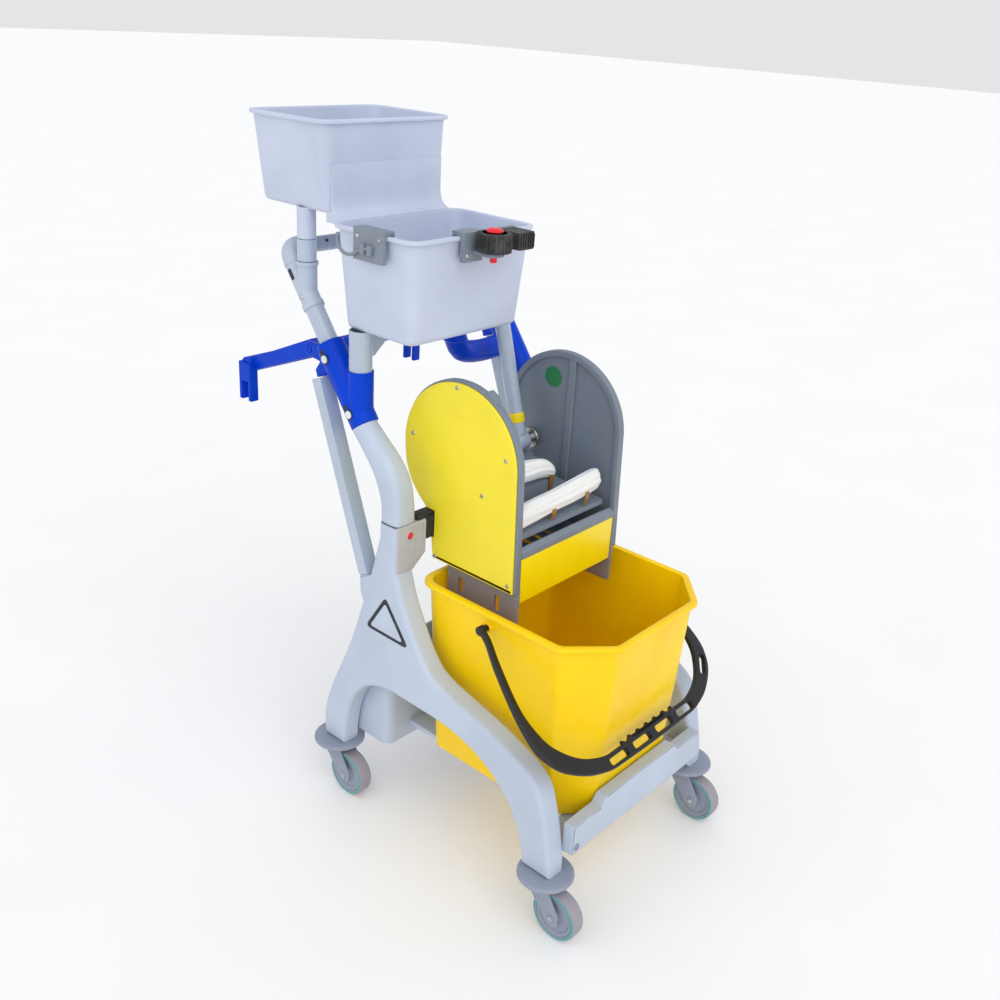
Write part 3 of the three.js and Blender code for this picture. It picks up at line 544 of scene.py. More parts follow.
def screw(name, place, direction, r, body):
    """A pan-head screw of radius r with a cross recess."""
    profile = [(0, 0.55 * r), (0.5 * r, 0.52 * r), (0.85 * r, 0.32 * r), (r, 0.05 * r), (r, -0.4 * r), (0, -0.4 * r)]
    made = piece(name, *lathe(profile, place, direction, 24), "steel", body, "steel")
    u, w, d = basis(direction)
    bars = []
    for a, b in ((u, w), (w, u)):
        corners = []
        for h in (0.3 * r, 0.9 * r):
            for i, j in ((-1, -1), (1, -1), (1, 1), (-1, 1)):
                corners.append(Vector(place) + (a * 0.55 * r * i + b * 0.12 * r * j + d * h) / 1000)
        bars.append((corners, [(3, 2, 1, 0), (4, 5, 6, 7), (0, 1, 5, 4), (1, 2, 6, 5), (2, 3, 7, 6), (3, 0, 4, 7)]))
    for k, (v, f) in enumerate(bars):
        subtract(made, tool(f"{name}_slot_{k}", v, f))
    return made


# ---------- carried-over CAD nodes ----------
def finish_node(node, material):
    """Gives a CAD node its material and smooth shading."""
    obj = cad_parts[node]
    obj.data.materials.clear()
    obj.data.materials.append(M[material])
    obj.data.polygons.foreach_set("use_smooth", [True] * len(obj.data.polygons))
    return obj


def dress(node, material, bevel, segments):
    """Gives a CAD node its material and soft edges."""
    soften(finish_node(node, material), bevel, segments)


def blend_moulding(node, material, voxel, rounds):
    """A CAD node whose unions get soft moulded fillets."""
    obj = finish_node(node, material)
    remesh = obj.modifiers.new("remesh", "REMESH")
    remesh.mode = "VOXEL"
    remesh.voxel_size = voxel / 1000
    remesh.use_smooth_shade = True
    smooth = obj.modifiers.new("smooth", "SMOOTH")
    smooth.factor = 0.5
    smooth.iterations = rounds


for side, s in SIDES:
    blend_moulding(f"collar_{side}", "blue", 1.6, 6)
    dress(f"strut_{side}", "tube", 0.7, 2)
    dress(f"lock_button_{side}", "red", 0.8, 3)
for look in (
    ("front_crossbar", "frame", 3.0, 4),
    ("bag_frame", "blue", 1.2, 3),
    ("sieve", "shell", 0.8, 2),
    ("back_panel", "shell", 1.0, 2),
    ("press_plate", "shell", 1.5, 3),
    ("hook_clip", "clip", 1.0, 3),
    ("mop_clip_body", "clip", 1.2, 3),
    ("mop_clip_block", "black_rubber", 1.5, 3),
    ("mop_clip_pin", "red", 0.6, 3),
    ("tub_stay_right", "joint", 0.8, 2),
):
    dress(*look)


# ---------- side frames ----------
def frame_outline():
    """The side frame's outer edge round to the rear foot, then the arch between the feet."""
    edge = [(205, 104), (254, 104)]
    edge += spline([(254, 104), (254, 150), (239, 204), (190, 317), (152, 430)], 8)[1:]
    edge += spline([(152, 430), (132, 500), (124, 530)], 8)[1:]
    edge += [(124, 556), (84, 556), (85, 478)]
    front = [(85, 478), (64, 422), (22, 352), (-16, 325), (-122, 296), (-205, 260), (-232, 207), (-249, 130)]
    edge += spline(front, 8)[1:]
    edge += [(-250, 104), (-196, 104)]
    edge += bezier((-196, 104), (-186, 215), (-95, 264), (5, 264))[1:]
    edge += bezier((85, 265), (160, 262), (200, 215), (205, 104))[:-1]
    return [tuple(p) for p in edge]


def strut_socket(s):
    points = rounded([(138, 385), (152, 390), (166, 420), (167.2, 447.4), (148.4, 454.4), (136, 455)], [0, 8, 8, 2, 2,
        0])
    return slab(points, s * 182, s * 207, 3, lay_x)


BUTTON_X, BUTTON_Y, BUTTON_Z = 181, 84, 538  # face of the bracket under the lock button
for side, s in SIDES:
    outline = frame_outline()
    body = merge(slab(outline, s * 170, s * 208, 8, lay_x, 5), strut_socket(s))
    piece(f"frame_shell_{side}", *body, "frame", "frame", "frame_plastic", [f"side_frame_{side}"], 30)
    # bracket that carries the wringer, with a recessed panel round the button
    bracket = rounded([(s * 172, 478), (s * 146, 500), (s * 146, 556), (s * 206, 556), (s * 206, 480)], [0, 3, 3, 3, 3])
    made = piece(f"bracket_{side}", *slab(bracket, 83.4, 110, 2, lay_y), "warm", "frame", "frame_plastic")
    recess = box_outline(min(s * 151, s * 172), max(s * 151, s * 172), 506, 550, 3)
    subtract(made, tool("recess", *slab(recess, 80, 86, 0.5, lay_y)))
    hole = lathe([(0, -12), (5.9, -12), (5.9, 16), (0, 16)], P(s * BUTTON_X, BUTTON_Y, BUTTON_Z), (0, 1, 0), 32)
    subtract(made, tool("button_hole", *hole))
    profile = [(5.9, 0), (8.4, 0), (8.4, 1.2), (7.8, 1.8), (5.9, 1.8), (5.9, 0)]
    collar = lathe(profile, P(s * BUTTON_X, BUTTON_Y, BUTTON_Z), (0, -1, 0), 36)
    piece(f"button_collar_{side}", *collar, "warm", "frame", "frame_plastic")
    # shadow line where the arm meets the frame
    line = box_outline(min(s * 169.5, s * 206.5), max(s * 169.5, s * 206.5), 86, 122, 8)
    piece(f"seam_{side}", *slab(line, 555, 557.2, 0.2, lay_z), "dark", "frame", "frame_plastic")
    # raised plain triangle on the outer face, ringed by a dark border of painted shade
    triangle = rounded([(106, 433), (52, 363), (150, 364)], 7)
    piece(f"mark_border_{side}", *slab(triangle, s * 207.4, s * 208.7, 0.4, lay_x), "dark", "frame", "frame_plastic")
    inner = rounded([(105.5, 422), (65, 369), (139, 370)], 4)
    piece(f"mark_face_{side}", *slab(inner, s * 207.6, s * 209.1, 0.4, lay_x), "frame", "frame", "frame_plastic")


# ---------- upper arms ----------
ARM_X = 187
ARM_STEPS = 48  # points round a ring
# y, z, lean in radians, half width, half depth, and how round a ring is: 1 is an ellipse, less is squarer
ARM = [
    (104, 556.3, 0, 20.5, 20, 0.45),
    (105, 585, 0.05, 20.5, 20.5, 0.5),
    (113, 615, 0.3, 20.5, 22.5, 0.55),
    (130, 641, 0.52, 20.5, 22, 0.7),
    (158, 668, 0.63, 20, 20.5, 0.9),
    (180, 688, 0.646, 19.5, 19.5, 1),
]


def arm_ring(s, y, z, lean, half_x, half_y, square, shrink=0.0):
    ring = []
    for k in range(ARM_STEPS):
        c, n = math.cos(2 * math.pi * k / ARM_STEPS), math.sin(2 * math.pi * k / ARM_STEPS)
        dx = math.copysign(abs(c) ** square, c) * (half_x - shrink)
        dy = math.copysign(abs(n) ** square, n) * (half_y - shrink)
        ring.append(P(s * ARM_X + dx, y + dy * math.cos(lean), z - dy * math.sin(lean)))
    return ring


for side, s in SIDES:
    stations = spline(ARM, 7)
    rings = [arm_ring(s, *stations[0], shrink=1.5)] + [arm_ring(s, *p) for p in stations[1:]]
    piece(f"arm_skin_{side}", *stitch(rings), "frame", "frame", "frame_plastic", [f"arm_{side}"], 50)


# ---------- tubes ----------
LEAN = Vector((0, 0.602, 0.799)).normalized()


def on_lean(s, along):
    """A place on the middle line of a slanted tube, measured from the top of the arm."""
    return P(s * TUBE_X, 180, 688) + LEAN * along / 1000


for side, x, bottom in (("left", -TUBE_X, 752.4), ("right", 12, 795.4)):
    post = tube(P(x, 192, bottom), P(x, 192, 831.5), 17.5)
    piece(f"post_skin_{side}", *post, "tube", "frame", "painted_tube", [f"tub_post_{side}"])
for side, s in SIDES:
    end = 192.6 if s < 0 else 264.6
    skin = tube(on_lean(s, 96.2), on_lean(s, end), 14.5)
    piece(f"slanted_skin_{side}", *skin, "tube", "frame", "painted_tube", [f"slanted_tube_{side}"])
    bar_end = P(s * 156, BAR_Y, BAR_Z)
    bend = [on_lean(s, 265), on_lean(s, 277), P(s * 180, 353, 917), P(s * 170, BAR_Y, BAR_Z), bar_end]
    bar_ring = [(12.6, 0), (16.2, 0), (16.8, 0.8), (16.8, 6), (16.2, 6.8), (12.6, 6.8), (12.6, 0)]
    tube_ring = [(14.6, 0), (16, 0.2), (16.3, 1), (16.3, 5), (15.4, 6), (14.6, 6), (14.6, 0)]
    elbow = merge(
        sweep(spline([tuple(p) for p in bend], 6), circle(15.3, 32), Vector((0, -0.8, 0.6))),
        lathe(bar_ring, bar_end, (s, 0, 0)),
        lathe(tube_ring, on_lean(s, 265), LEAN),
    )
    piece(f"elbow_skin_{side}", *elbow, "joint", "frame", "joint_plastic", [f"elbow_{side}"])


def on_upright(z):
    """A place on the middle line of the upright tube that carries the upper tub."""
    return P(-TUBE_X, 312, z)


joint = merge(
    sweep([on_lean(-1, 193 + 8 * k) for k in range(10)], circle(15.4, 36), Vector((1, 0, 0))),
    lathe([(14.6, 0), (16.2, 0.3), (16.8, 1.2), (16.8, 8), (16.2, 9), (14.6, 9), (14.6, 0)], on_lean(-1, 192), LEAN),
    tube(on_upright(858), on_upright(909.6), 15.2),
    lathe([(14.4, 0), (16.6, 0.2), (17, 1), (17, 5), (16.6, 6), (14.4, 6), (14.4, 0)], on_upright(903.5), (0, 0, 1)),
)
piece("y_joint_skin", *joint, "joint", "frame", "joint_plastic", ["y_joint_left"])
vertical = merge(tube(on_upright(910.3), on_upright(942.5), 14.5), tube(on_upright(940), on_upright(962), 10))
piece("vertical_skin", *vertical, "tube", "frame", "painted_tube", ["vertical_tube_left"])
bar = tube(P(-155.5, BAR_Y, BAR_Z), P(155.5, BAR_Y, BAR_Z), 12)
piece("push_bar_skin", *bar, "tube", "frame", "painted_tube", ["push_bar"])
screw("y_joint_screw", on_lean(-1, 212) + Vector((-0.0152, 0, 0)), (-1, 0, 0), 4, "frame")
slot_disc = rounded([(-9, -3.5), (9, -3.5), (9, 3.5), (-9, 3.5)], 3.4)
along, across = LEAN, Vector((-1, 0, 0))
third = along.cross(across)


def on_joint(u, v, w):
    return on_lean(-1, 250) + (along * u + third * v + across * (15.1 + w)) / 1000


# the joint's slot is a flat dark disc of painted shade
piece("y_joint_slot", *stack(slot_disc, [(0, 0), (0, 0.7)], on_joint), "dark", "frame", "joint_plastic")
# the hole in the push bar is a flat dark disc of painted shade
hole = lathe([(0, 0), (2.6, 0), (2.6, 0.5), (0, 0.5)], P(-119, 345.5, 927.2), (0, -0.85, 0.5), 20)
piece("push_bar_hole", *hole, "dark", "frame", "painted_tube")

# keyhole slots with their locking pins on the blue collars; each slot is a flat dark inset of painted shade, not a hole
for side, s in SIDES:
    for k, reach in enumerate((22, 112)):
        outward = Vector((s, 0, 0))
        turn = LEAN.cross(outward)
        place = on_lean(s, reach)

        def on_side(u, v, w):
            return place + (LEAN * u + turn * v + outward * (21.2 + w)) / 1000

        keyhole = [(8.5 * math.cos(a), 8.5 * math.sin(a)) for a in (math.radians(25 + 310 * i / 24) for i in range(25))]
        keyhole += [(15, -3.6), (15, 3.6)]
        piece(f"keyhole_{side}_{k}", *stack(keyhole, [(0, 0), (0, 1.0)], on_side), "dark", "frame", "blue_plastic")
        pin = lathe([(0, 0), (6, 0), (6, 3), (5, 4), (0, 4.2)], place + outward * 0.0205, outward, 28)
        piece(f"collar_pin_{side}_{k}", *pin, "mark", "frame", "blue_plastic")


# ---------- casters ----------
STEM_X, STEM_Y = 191, 232.5
AXLE_TRAIL, AXLE_Z = 30, 40
for side, s in SIDES:
    for end, e in (("front", -1), ("rear", 1)):
        name = f"{end}_{side}"
        x, y = s * STEM_X, e * STEM_Y
        axle = P(x, y - AXLE_TRAIL, AXLE_Z)
        disc = [(8.4, 95.4), (39, 95.4), (42, 96.2), (43.4, 98), (43.4, 100.6), (42.2, 102.4), (39, 103.5), (30, 103.6)]
        disc += [(8.4, 103.6), (8.4, 95.4)]
        piece(f"disc_{name}", *lathe(disc, P(x, y, 0), (0, 0, 1), 64), "caster", "frame", "caster_plastic",
            [f"bumper_{name}"])
        cap = [(0, 82.6), (17, 82.6), (20.4, 84.5), (21, 87), (20.6, 93), (18.5, 94.4), (8, 94.4), (8, 111.5), (0,
            111.9)]
        cheek = rounded([(y - 42, 47), (y - 41, 30), (y - 30, 25.5), (y - 19, 31), (y + 19, 76), (y + 18, 90), (y - 15,
            90)], 6)
        pin = [(0, -20), (5.2, -19.6), (6.2, -18.4), (6.2, -13), (4, -13)]
        pin += [(r, -h) for r, h in reversed(pin)]
        fork = merge(
            lathe(cap, P(x, y, 0), (0, 0, 1), 48),
            slab(cheek, x - 17.5, x - 13, 1.4, lay_x),
            slab(cheek, x + 13, x + 17.5, 1.4, lay_x),
            lathe(pin, axle, (1, 0, 0), 24),
        )
        piece(f"fork_skin_{name}", *fork, "caster", f"swivel_{name}", "caster_plastic", [f"fork_{name}"])
        hub = [(4.4, -10.6), (9, -11), (10, -10), (11, -8.2), (26, -7.4), (28.5, -10.4), (32.6, -11), (32.9, -10),
            (32.9, 10)]
        hub += [(32.6, 11), (28.5, 10.4), (26, 7.4), (11, 8.2), (10, 10), (9, 11), (4.4, 10.6), (4.4, -10.6)]
        hub_skin = lathe(hub, axle, (1, 0, 0), 56)
        piece(f"hub_skin_{name}", *hub_skin, "caster", f"wheel_{name}", "caster_plastic", [f"hub_{name}"])
        tyre = [(33.3, -11.2), (34.6, -11.9), (36.8, -12), (38.9, -10.8), (39.8, -8), (40, -4), (40, 4), (39.8, 8)]
        tyre += [(38.9, 10.8), (36.8, 12), (34.6, 11.9), (33.3, 11.2), (33.3, -11.2)]
        tyre_skin = lathe(tyre, axle, (1, 0, 0), 72)
        piece(f"tyre_skin_{name}", *tyre_skin, "tyre", f"wheel_{name}", "tyre", [f"tyre_{name}"])
        for k, d in enumerate((-1, 1)):
            ring = [(34.9, 11.4), (37.4, 11.4), (37.4, 12.3), (36.9, 12.5), (35.4, 12.5), (34.9, 12.3), (34.9, 11.4)]
            piece(f"teal_{name}_{k}", *lathe(ring, axle, (d, 0, 0), 72), "teal", f"wheel_{name}", "tyre")
            bolt = lathe([(0, 21.4), (3.2, 21.2), (4.4, 20.2), (4.4, 17.4), (0, 17.4)], axle, (d, 0, 0), 6)
            piece(f"axle_nut_{name}_{k}", *bolt, "steel", f"swivel_{name}", "steel")


# ---------- shells: tubs, bucket, rear box ----------
def tub(front, rear, top, bottom, straight=0):
    """A tub with leaning walls; straight=1 keeps its front wall upright."""

    def lay(u, v, w):
        lean = 11 * min(1, max(0, (top - 10 - w) / (top - 18 - bottom)))
        return P(u, v - straight * lean * (rear - v) / (rear - front), w)

    corners = [(-206, front), (43, front), (43, rear), (-206, rear)]
    levels = [(19, bottom), (14.5, bottom + 1), (12, bottom + 3.5), (11, bottom + 8), (0.6, top - 10), (0, top - 7)]
    levels += [(-2, top - 6), (-4.6, top - 5.6), (-5, top - 4.6), (-5, top - 1.6), (-4.2, top - 0.4), (-3, top), (1.4,
        top)]
    levels += [(2.6, top - 1), (3, top - 3), (14, bottom + 10), (15.5, bottom + 5.5), (18.5, bottom + 3.4), (23,
        bottom + 3)]
    return rounded_stack(corners, [25] * 4, levels, lay)


# the curved wall between the two tubs
neck = [(226.4, 974.5), (262, 974.5), (262, 988.5), (251.6, 992), (251.6, 1050), (249.3, 1056)]
neck += spline([(248.9, 1024), (248.4, 1006), (245, 993), (237, 985), (226.4, 981.4)], 6)
web = slab([tuple(p) for p in neck], -190, 28, 0.8, lay_x)
boss_profile = [(10.3, 943), (13, 943), (14, 944), (14, 989), (10.3, 989), (10.3, 943)]
bosses = merge(*(lathe(boss_profile, P(x, 312, 0), (0, 0, 1), 40) for x in (-185, 14)))
tubs = merge(tub(67, 229, 981, 832), tub(249, 418, 1115, 987, 1), web, bosses)
piece("tubs_skin", *tubs, "tub", "top_tubs", "tub_plastic", ["top_tub"], 42)
gusset = slab(rounded([(-172, 831), (-168, 790), (-160, 788), (-110, 831)], [0, 3, 4, 0]), 189.5, 194.5, 1.2, lay_y)
piece("post_gusset", *gusset, "joint", "frame", "joint_plastic")


BUCKET_CORNERS = [(-158, 74), (-158, -196), (-96, -253), (96, -253), (158, -196), (158, 74)]
levels = [(26, 148), (20, 149.2), (17.4, 152), (16.5, 157), (9, 292), (8.2, 304), (0.4, 446), (0, 451)]
levels += [(-2, 452.6), (-7.2, 453.2), (-8, 454.4), (-8, 458.6), (-7.2, 460.4), (-5.6, 461), (1.8, 461), (3.2, 460),
    (3.7, 456)]
levels += [(11.4, 305), (12.4, 293), (20, 160), (22, 155), (28, 152), (34, 151.6)]
bucket = rounded_stack(BUCKET_CORNERS, [30, 20, 20, 20, 20, 30], levels, lay_z)
piece("bucket_skin", *bucket, "bucket", "frame", "yellow_bucket", ["bucket"], 42)
BAIL_PIVOT = P(0, -62, 434)
for side, s in SIDES:
    boss = lathe([(5.2, 155), (9, 155), (9, 160.4), (8.2, 161.4), (5.2, 161.4), (5.2, 155)], BAIL_PIVOT, (s, 0, 0), 32)
    piece(f"bail_boss_{side}", *boss, "bucket", "frame", "yellow_bucket")

rear_outline = box_outline(-169.7, 169.7, 134, 225, 20, 7)
levels = [(5, 116), (1.2, 117), (0, 120), (0, 242), (0, 249), (0.6, 250), (2.6, 250), (3.4, 249), (3.5, 122), (6, 120),
    (12, 119.5)]
rear = merge(stack(rear_outline, levels, lay_z), slab(box_outline(-120, 120, 40, 136, 6), 138, 147.7, 2, lay_z))
piece("rear_box_skin", *rear, "frame", "frame", "frame_plastic", ["rear_box"])


# ---------- bail ----------
# the bail is drawn flat: u across the cart, v out from the pivots, w through its thickness
REACH = Vector((0, -216, -168)).normalized()
FACE = Vector((1, 0, 0)).cross(REACH)


def lay_bail(u, v, w):
    return BAIL_PIVOT + (Vector((1, 0, 0)) * u + REACH * v + FACE * w) / 1000


outer = [(178, -2), (179.5, 20), (193, 60), (209.5, 130), (214, 182), (206, 212), (188, 236), (154, 258), (120, 269),
    (100, 272)]
inner = [(102, 249), (124, 244), (152, 231), (176, 208), (191, 180), (196, 130), (181.5, 60), (169.6, 20), (168, -2)]
grip_out = [(100 - 200 * k / 48, 272 + 1.5 * math.sin(math.pi * k / 48)) for k in range(49)]
grip_in = []  # with finger teeth
for k in range(121):
    u = -102 + 204 * k / 120
    teeth = 6 * (1 - abs(math.sin(math.pi * (u + 66) / 22))) if abs(u) <= 66 else 0
    grip_in.append((u, 249 - teeth))
right_out = [tuple(p) for p in spline(outer, 5)]
right_in = [tuple(p) for p in spline(inner, 5)]
contour = right_out + grip_out[1:-1] + [(-u, v) for u, v in reversed(right_out)]
contour += [(-u, v) for u, v in reversed(right_in)] + grip_in[1:-1] + right_in


def arm_tip(u):
    """The round end of an arm at its pivot."""
    return [(u - 5 * math.cos(a), -2 - 5 * math.sin(a)) for a in (math.pi * (k + 1) / 10 for k in range(9))]


contour += arm_tip(173)
at = len(right_out) + len(grip_out) - 2 + len(right_out)
contour = contour[:at] + arm_tip(-173) + contour[at:]
bail = piece("bail_skin", *slab(contour, -4.6, 4.6, 2.6, lay_bail, 4), "black", "bail", "black_plastic",
    ["bucket_handle"])
through = [(-1.2, -6), (0.4, 0), (-1.2, 6)]  # levels of a slot that flares at both faces
for centre in (-87, -29, 29, 87):
    oval = box_outline(centre - 21, centre + 21, 256, 267, 5.2)
    subtract(bail, tool("oval", *stack(oval, through, lay_bail)))
bend = [(184 + 0.68 * a - 0.73 * b, 221 - 0.73 * a - 0.68 * b) for a, b in box_outline(-18, 18, -4.8, 4.8, 4.6)]
subtract(bail, tool("oval", *stack(list(reversed(bend)), through, lay_bail)))
pin = [(0, 154.6), (4.4, 154.6), (4.4, 168), (7.4, 168.2), (7.4, 177.6), (6.4, 178.6), (0, 178.8)]
for side, s in SIDES:
    piece(f"bail_pin_{side}", *lathe(pin, BAIL_PIVOT, (s, 0, 0), 32), "black", "bail", "black_plastic")


# ---------- wringer ----------
def wringer_outline():
    base = rounded([(-75, 700), (-82, 480), (88, 480), (96, 546)], [0, 5, 5, 0])[1:-1]
    rear = [(96, 546), (103, 560), (122, 577), (139, 598), (151, 626), (154.6, 655)]
    arc = [(40 + 115 * math.cos(a), 665 + 115 * math.sin(a)) for a in (math.pi * k / 44 for k in range(45))]
    return base + [tuple(p) for p in spline(rear, 4)] + arc


OUTLINE = wringer_outline()
for side, s in SIDES:
    def lay_side(u, v, w):
        return P(s * w, u, v)

    levels = [(5, 125.6), (1.2, 125.6), (0, 124.2), (0, 114.4), (0.6, 113), (2, 112.5), (8, 112.5), (9.6, 113)]
    levels += [(10.4, 114.4), (11, 118)]
    skirt_outline = rounded([(-82, 484), (-82, 421), (62, 421), (62, 484)], [0, 5, 5, 0])
    skirt = piece(f"skirt_{side}", *slab(skirt_outline, s * 112.6, s * 118, 1, lay_x), "skirt", "wringer",
        "wringer_grey")
    for k, y in enumerate((34, -41)):
        opening = box_outline(y - 5, y + 5, 434, 464, 4.8)
        subtract(skirt, tool("slot", *slab(opening, s * 108, s * 122, 0.3, lay_x)))
    foot = slab(box_outline(-80, 86, 480.4, 492, 2), s * 112.8, s * 125, 1.5, lay_x)
    rib_outline = [(22, 492), (36, 492), (36, 768), (34, 774), (24, 776), (22, 772)]
    rib = slab(rib_outline, s * 113.4, s * 119, 2.4, lay_x)
    shell = merge(stack(OUTLINE, levels, lay_side), foot, rib)
    piece(f"shell_skin_{side}", *shell, "shell", "wringer", "wringer_grey", [f"wringer_shell_{side}"])
    # the hanger is coloured with painted shade, for the shaded gap between the shell and the bracket
    hanger = merge(
        slab(box_outline(84.5, 105.5, 520, 562.6, 2), s * 118, s * 144.8, 1.2, lay_x),
        slab(box_outline(84.5, 105.5, 556.5, 562.8, 2), s * 126, s * 163, 1.2, lay_x),
    )
    piece(f"hanger_{side}", *hanger, "dark", "wringer", "wringer_grey")

    cover = stack(OUTLINE, [(6, 126), (3.2, 126), (3, 127), (3, 128.6), (3.8, 129.7), (5, 130), (9, 130)], lay_side)
    panel = piece(f"cover_skin_{side}", *cover, "panel", "wringer", "yellow_panel", [f"wringer_cover_{side}"])
    notch = slab(box_outline(83, 107, 518, 564, 1), s * 124, s * 133, 0.2, lay_x)
    subtract(panel, tool("notch", *notch))
    pad = box_outline(22, 66, 727, 739, 3)
    piece(f"cover_pad_{side}", *slab(pad, s * 129.6, s * 130.5, 0.4, lay_x), "panel", "wringer", "yellow_panel")
    for k, (y, z) in enumerate(((48, 770), (134, 676), (-52, 688), (-10, 620), (79, 488), (-70, 495))):
        screw(f"cover_screw_{side}_{k}", P(s * 129.9, y, z), (s, 0, 0), 3.4, "wringer")
lump = slab(rounded([(-22, 752), (-2, 758), (-3, 776.5), (-8, 779), (-19, 773), (-23, 766)], 2.5), -124, -114, 1.5,
    lay_x)
piece("shell_lump", *lump, "shell", "wringer", "wringer_grey")

front = rounded([(-79.6, 462.4), (-72, 462.4), (-72, 536), (-79.6, 536)], 1.2)
piece("front_skin", *slab(front, -112, 112, 1, lay_x), "bright", "wringer", "yellow_panel", ["front_panel"])
rail = rounded([(-80, 535.6), (-70.6, 535.6), (-70.6, 551.5), (-74, 551.5), (-80, 545.5)], 1.4)
piece("front_rail", *slab(rail, -112.2, 112.2, 1, lay_x), "shell", "wringer", "wringer_grey")
disc = lathe([(0, 0), (16.6, 0), (17, 0.4), (16.6, 0.8), (0, 0.9)], P(118.2, 68, 732), (-1, 0, 0), 48)
piece("green_disc", *disc, "green", "wringer", "wringer_grey")

SHAFT_Y, SHAFT_Z = 98, 621
LEVER_LEAN = 0.277  # radians from upright
shaft = [(0, -122), (9, -122), (9, 105.6), (16.4, 105.8), (17, 106.6), (17, 110.6), (16.4, 111.4), (9, 111.6)]
shaft += [(9, 122), (0, 122)]
shaft_skin = lathe(shaft, P(0, SHAFT_Y, SHAFT_Z), (1, 0, 0), 48)
piece("shaft_skin", *shaft_skin, "steel", "press_drive", "steel", ["press_shaft"])
lean = Vector((0, math.sin(LEVER_LEAN), math.cos(LEVER_LEAN)))
foot = P(80, SHAFT_Y, SHAFT_Z)
lever = merge(
    tube(foot + lean * 0.012, foot + lean * 0.3485, 12.4),
    lathe([(9.4, -13), (14.4, -13), (15, -12.2), (15, 12.2), (14.4, 13), (9.4, 13), (9.4, -13)], foot, (1, 0, 0), 44),
)
piece("lever_skin", *lever, "tube", "press_drive", "painted_tube", ["lever"])
cap = lathe([(0, 349.9), (9, 349.8), (12, 348.6), (12.9, 346), (12.9, 330), (12.3, 329.4), (12.3, 320)], foot, lean, 44)
piece("lever_cap", *cap, "black_rubber", "press_drive", "black_rubber")
band = lathe([(12.3, 32), (13.3, 32.2), (13.6, 33), (13.6, 47), (13.3, 47.8), (12.3, 48), (12.3, 32)], foot, lean, 44)
piece("lever_band", *band, "bright", "press_drive", "yellow_panel")


# ---------- soft wraps on the press ----------
RING_STEPS = 56


def soft_bar(name, stations, node, seed):
    """A bar wrapped in soft foam cloth: an oval sleeve with long folds and puckered, ragged ends.

    A station is x, y, z, half depth and half height. Returns the path through them."""
    rnd = random.Random(seed)
    folds = [
        (rnd.choice((3, 5, 7, 9, 12)), rnd.uniform(0, 6.28), rnd.uniform(0.5, 1.3), rnd.uniform(-2.5, 2.5))
        for _ in range(6)
    ]
    dents = [(rnd.random(), rnd.uniform(0, 6.28), rnd.uniform(0.8, 2.2)) for _ in range(9)]
    path = spline(stations, 14)
    rings = []
    for i, (x, y, z, hy, hz) in enumerate(path):
        t = i / (len(path) - 1)
        ring = []
        for a in (2 * math.pi * k / RING_STEPS for k in range(RING_STEPS)):
            grow = 0
            for count, phase, size, twist in folds:
                grow += 0.6 * size * abs(math.sin(count * a / 2 + phase + twist * t)) - 0.2 * size
            for at, angle, deep in dents:
                away = ((t - at) * 9) ** 2 + (math.sin((a - angle) / 2) * 4) ** 2
                grow -= 0.7 * deep * math.exp(-away)
            ragged = 2.6 * math.sin(7 * a + seed) + 1.8 * math.sin(12 * a) if i in (0, len(path) - 1) else 0
            ring.append(P(x + ragged, y + (hy + grow) * math.cos(a), z + (hz + grow) * math.sin(a)))
        rings.append(ring)
    made = piece(name, *stitch(rings), "white", "press", "white_cloth", [node], 60)
    made.modifiers.new("subdivision", "SUBSURF").levels = 1
    return path


front_path = soft_bar(
    "front_wrap",
    [(-108, -50, 584, 8.5, 12), (-100, -50, 585, 11, 17), (-60, -50, 588, 12, 18), (-10, -50, 591, 11.5, 16.5),
     (40, -50, 594, 12, 18), (84, -50, 598, 12, 18), (95, -50, 600, 10.5, 15)],
    "press_wrap_front", 3,
)
back_path = soft_bar(
    "back_wrap",
    [(-107, 0, 621, 9, 13), (-96, 0, 622, 11, 15), (-50, 0, 626, 12, 16), (-10, 0, 625, 12, 16),
     (18, 0, 621, 11, 15), (37, 0, 614, 10, 12), (46, 0, 609, 6, 7)],
    "press_wrap_back", 11,
)


def strap(name, path, x, width, bottom):
    """A band of brown tape that hangs from under a wrap and is stuck down to the press plate."""
    _, y, z, hy, hz = min(path, key=lambda p: abs(p[0] - x))
    section = ((-width / 2, 0), (width / 2, 0), (width / 2, 0.8), (-width / 2, 0.8))
    rings = []
    for k in range(17):
        t = k / 16
        py = y - (hy - 1) * (1 - 0.5 * t) - 2.5 * math.sin(math.pi * t)
        pz = z - 0.3 * hz - (z - 0.3 * hz - bottom) * t
        bow = 2 * math.sin(math.pi * t)
        rings.append([P(x + du + bow, py + dn, pz) for du, dn in section])
    piece(name, *stitch(rings), "tape", "press", "white_cloth", (), 60)


strap("tape_front_near", front_path, -20, 10, 562)
strap("tape_front_far", front_path, 60, 9, 562)
strap("tape_back", back_path, 32, 9, 574)


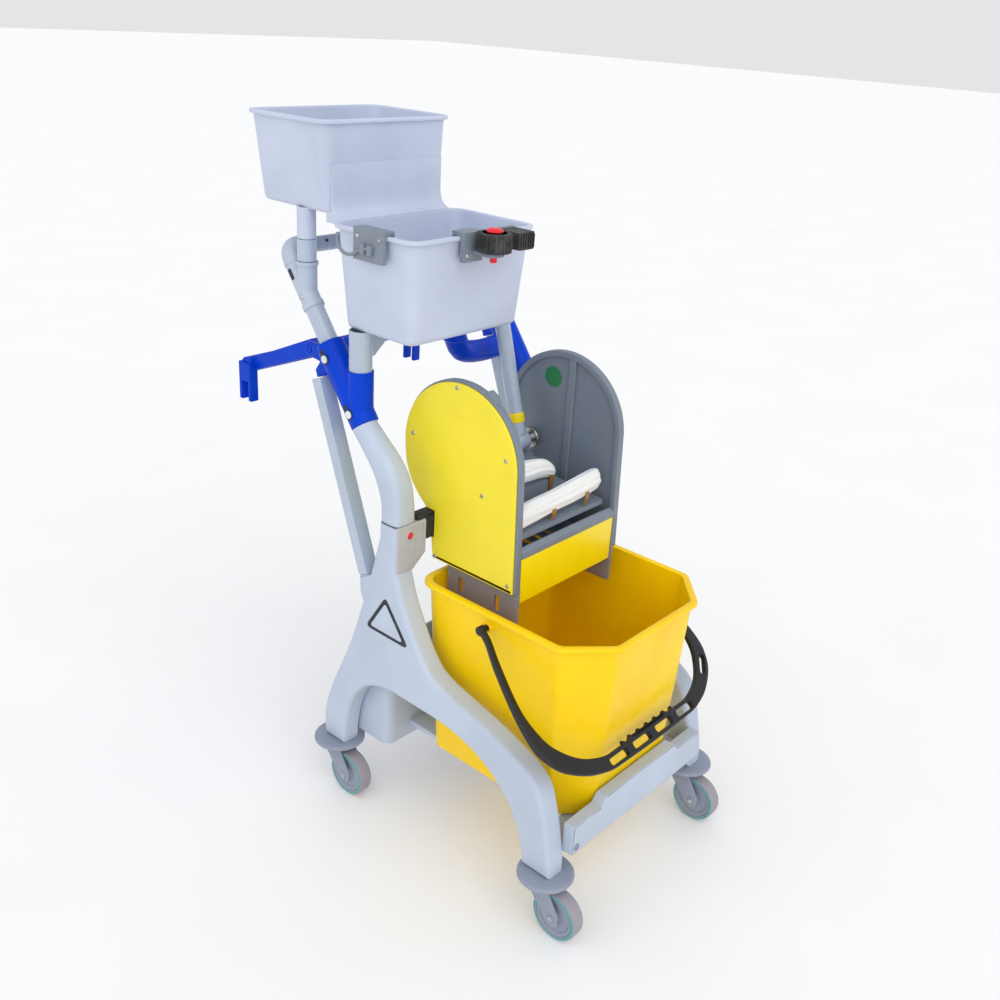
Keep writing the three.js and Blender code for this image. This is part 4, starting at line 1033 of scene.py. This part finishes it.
# ---------- clips on the tubs ----------
HOOK_X = -222
hook = spline([(138, 962), (158, 956), (174, 948), (191, 950), (200, 961), (199, 973)], 8)
rod = sweep([P(HOOK_X, y, z) for y, z in hook], circle(2.5, 16), Vector((1, 0, 0)))
piece("hook_skin", *rod, "clip", "top_tubs", "clip_grey", ["hook_rod"])
tip = lathe([(0, -1), (2.2, -0.6), (3, 1), (3, 3), (2.2, 4.4), (0, 4.8)], P(HOOK_X, 199, 970), (0, 0, 1), 20)
piece("hook_tip", *tip, "clip", "top_tubs", "clip_grey")
for k, y in enumerate((134, 148)):
    lug = slab(box_outline(y - 4, y + 4, 953, 967, 2), -225.4, -219, 1, lay_x)
    piece(f"hook_lug_{k}", *lug, "clip", "top_tubs", "clip_grey")
for k, y in enumerate((120, 163)):
    screw(f"hook_clip_screw_{k}", P(-219.1, y, 975), (-1, 0, 0), 3.2, "top_tubs")

ribs = []
for k in range(144):
    a = 2 * math.pi * k / 144
    r = 24.8 - (1.7 if (k // 3) % 2 else 0)
    ribs.append((-90 + r * math.cos(a), 28 + r * math.sin(a)))
roller = stack(ribs, [(19.4, 962.6), (6, 962.6), (1, 962.9), (0, 964), (0, 988), (1, 989), (6, 989.3), (19.4, 989.3)],
    lay_z)
piece("roller_skin", *roller, "black_rubber", "mop_roller", "black_rubber", ["mop_clip_roller"], 30)
for k in range(6):
    x = -50 + 5 * k
    rib = slab(box_outline(x, x + 2.8, 964, 984, 1), 12.4, 14.8, 0.6, lay_y)
    piece(f"block_rib_{k}", *rib, "black_rubber", "top_tubs", "black_rubber")
screw("mop_clip_screw", P(-114, 53.9, 955), (0, -1, 0), 3.4, "top_tubs")

# small ring on the front cross-member
ring = lathe([(2.6, 0), (5.6, 0), (6, 0.5), (5.6, 1.6), (2.6, 1.6), (2.6, 0)], P(-161, -262, 147), (0, -1, 0), 28)
piece("crossbar_ring", *ring, "caster", "frame", "frame_plastic")

# ---------- floor ----------
floor_mesh = bpy.data.meshes.new("floor")
floor_mesh.from_pydata([(-30, -30, 0), (30, -30, 0), (30, 30, 0), (-30, 30, 0)], [], [(0, 1, 2, 3)])
floor = link_new("floor", floor_mesh)
paint = Nodes("floor_paint")
shade = paint.mix(paint.remap(paint.noise(3, 3), 0.3, 0.7, 0, 1), (0.93,) * 3, (0.95,) * 3)
paint.link(shade, paint.shader.inputs["Base Color"])
paint.shader.inputs["Roughness"].default_value = 0.8
floor_mesh.materials.append(paint.material)
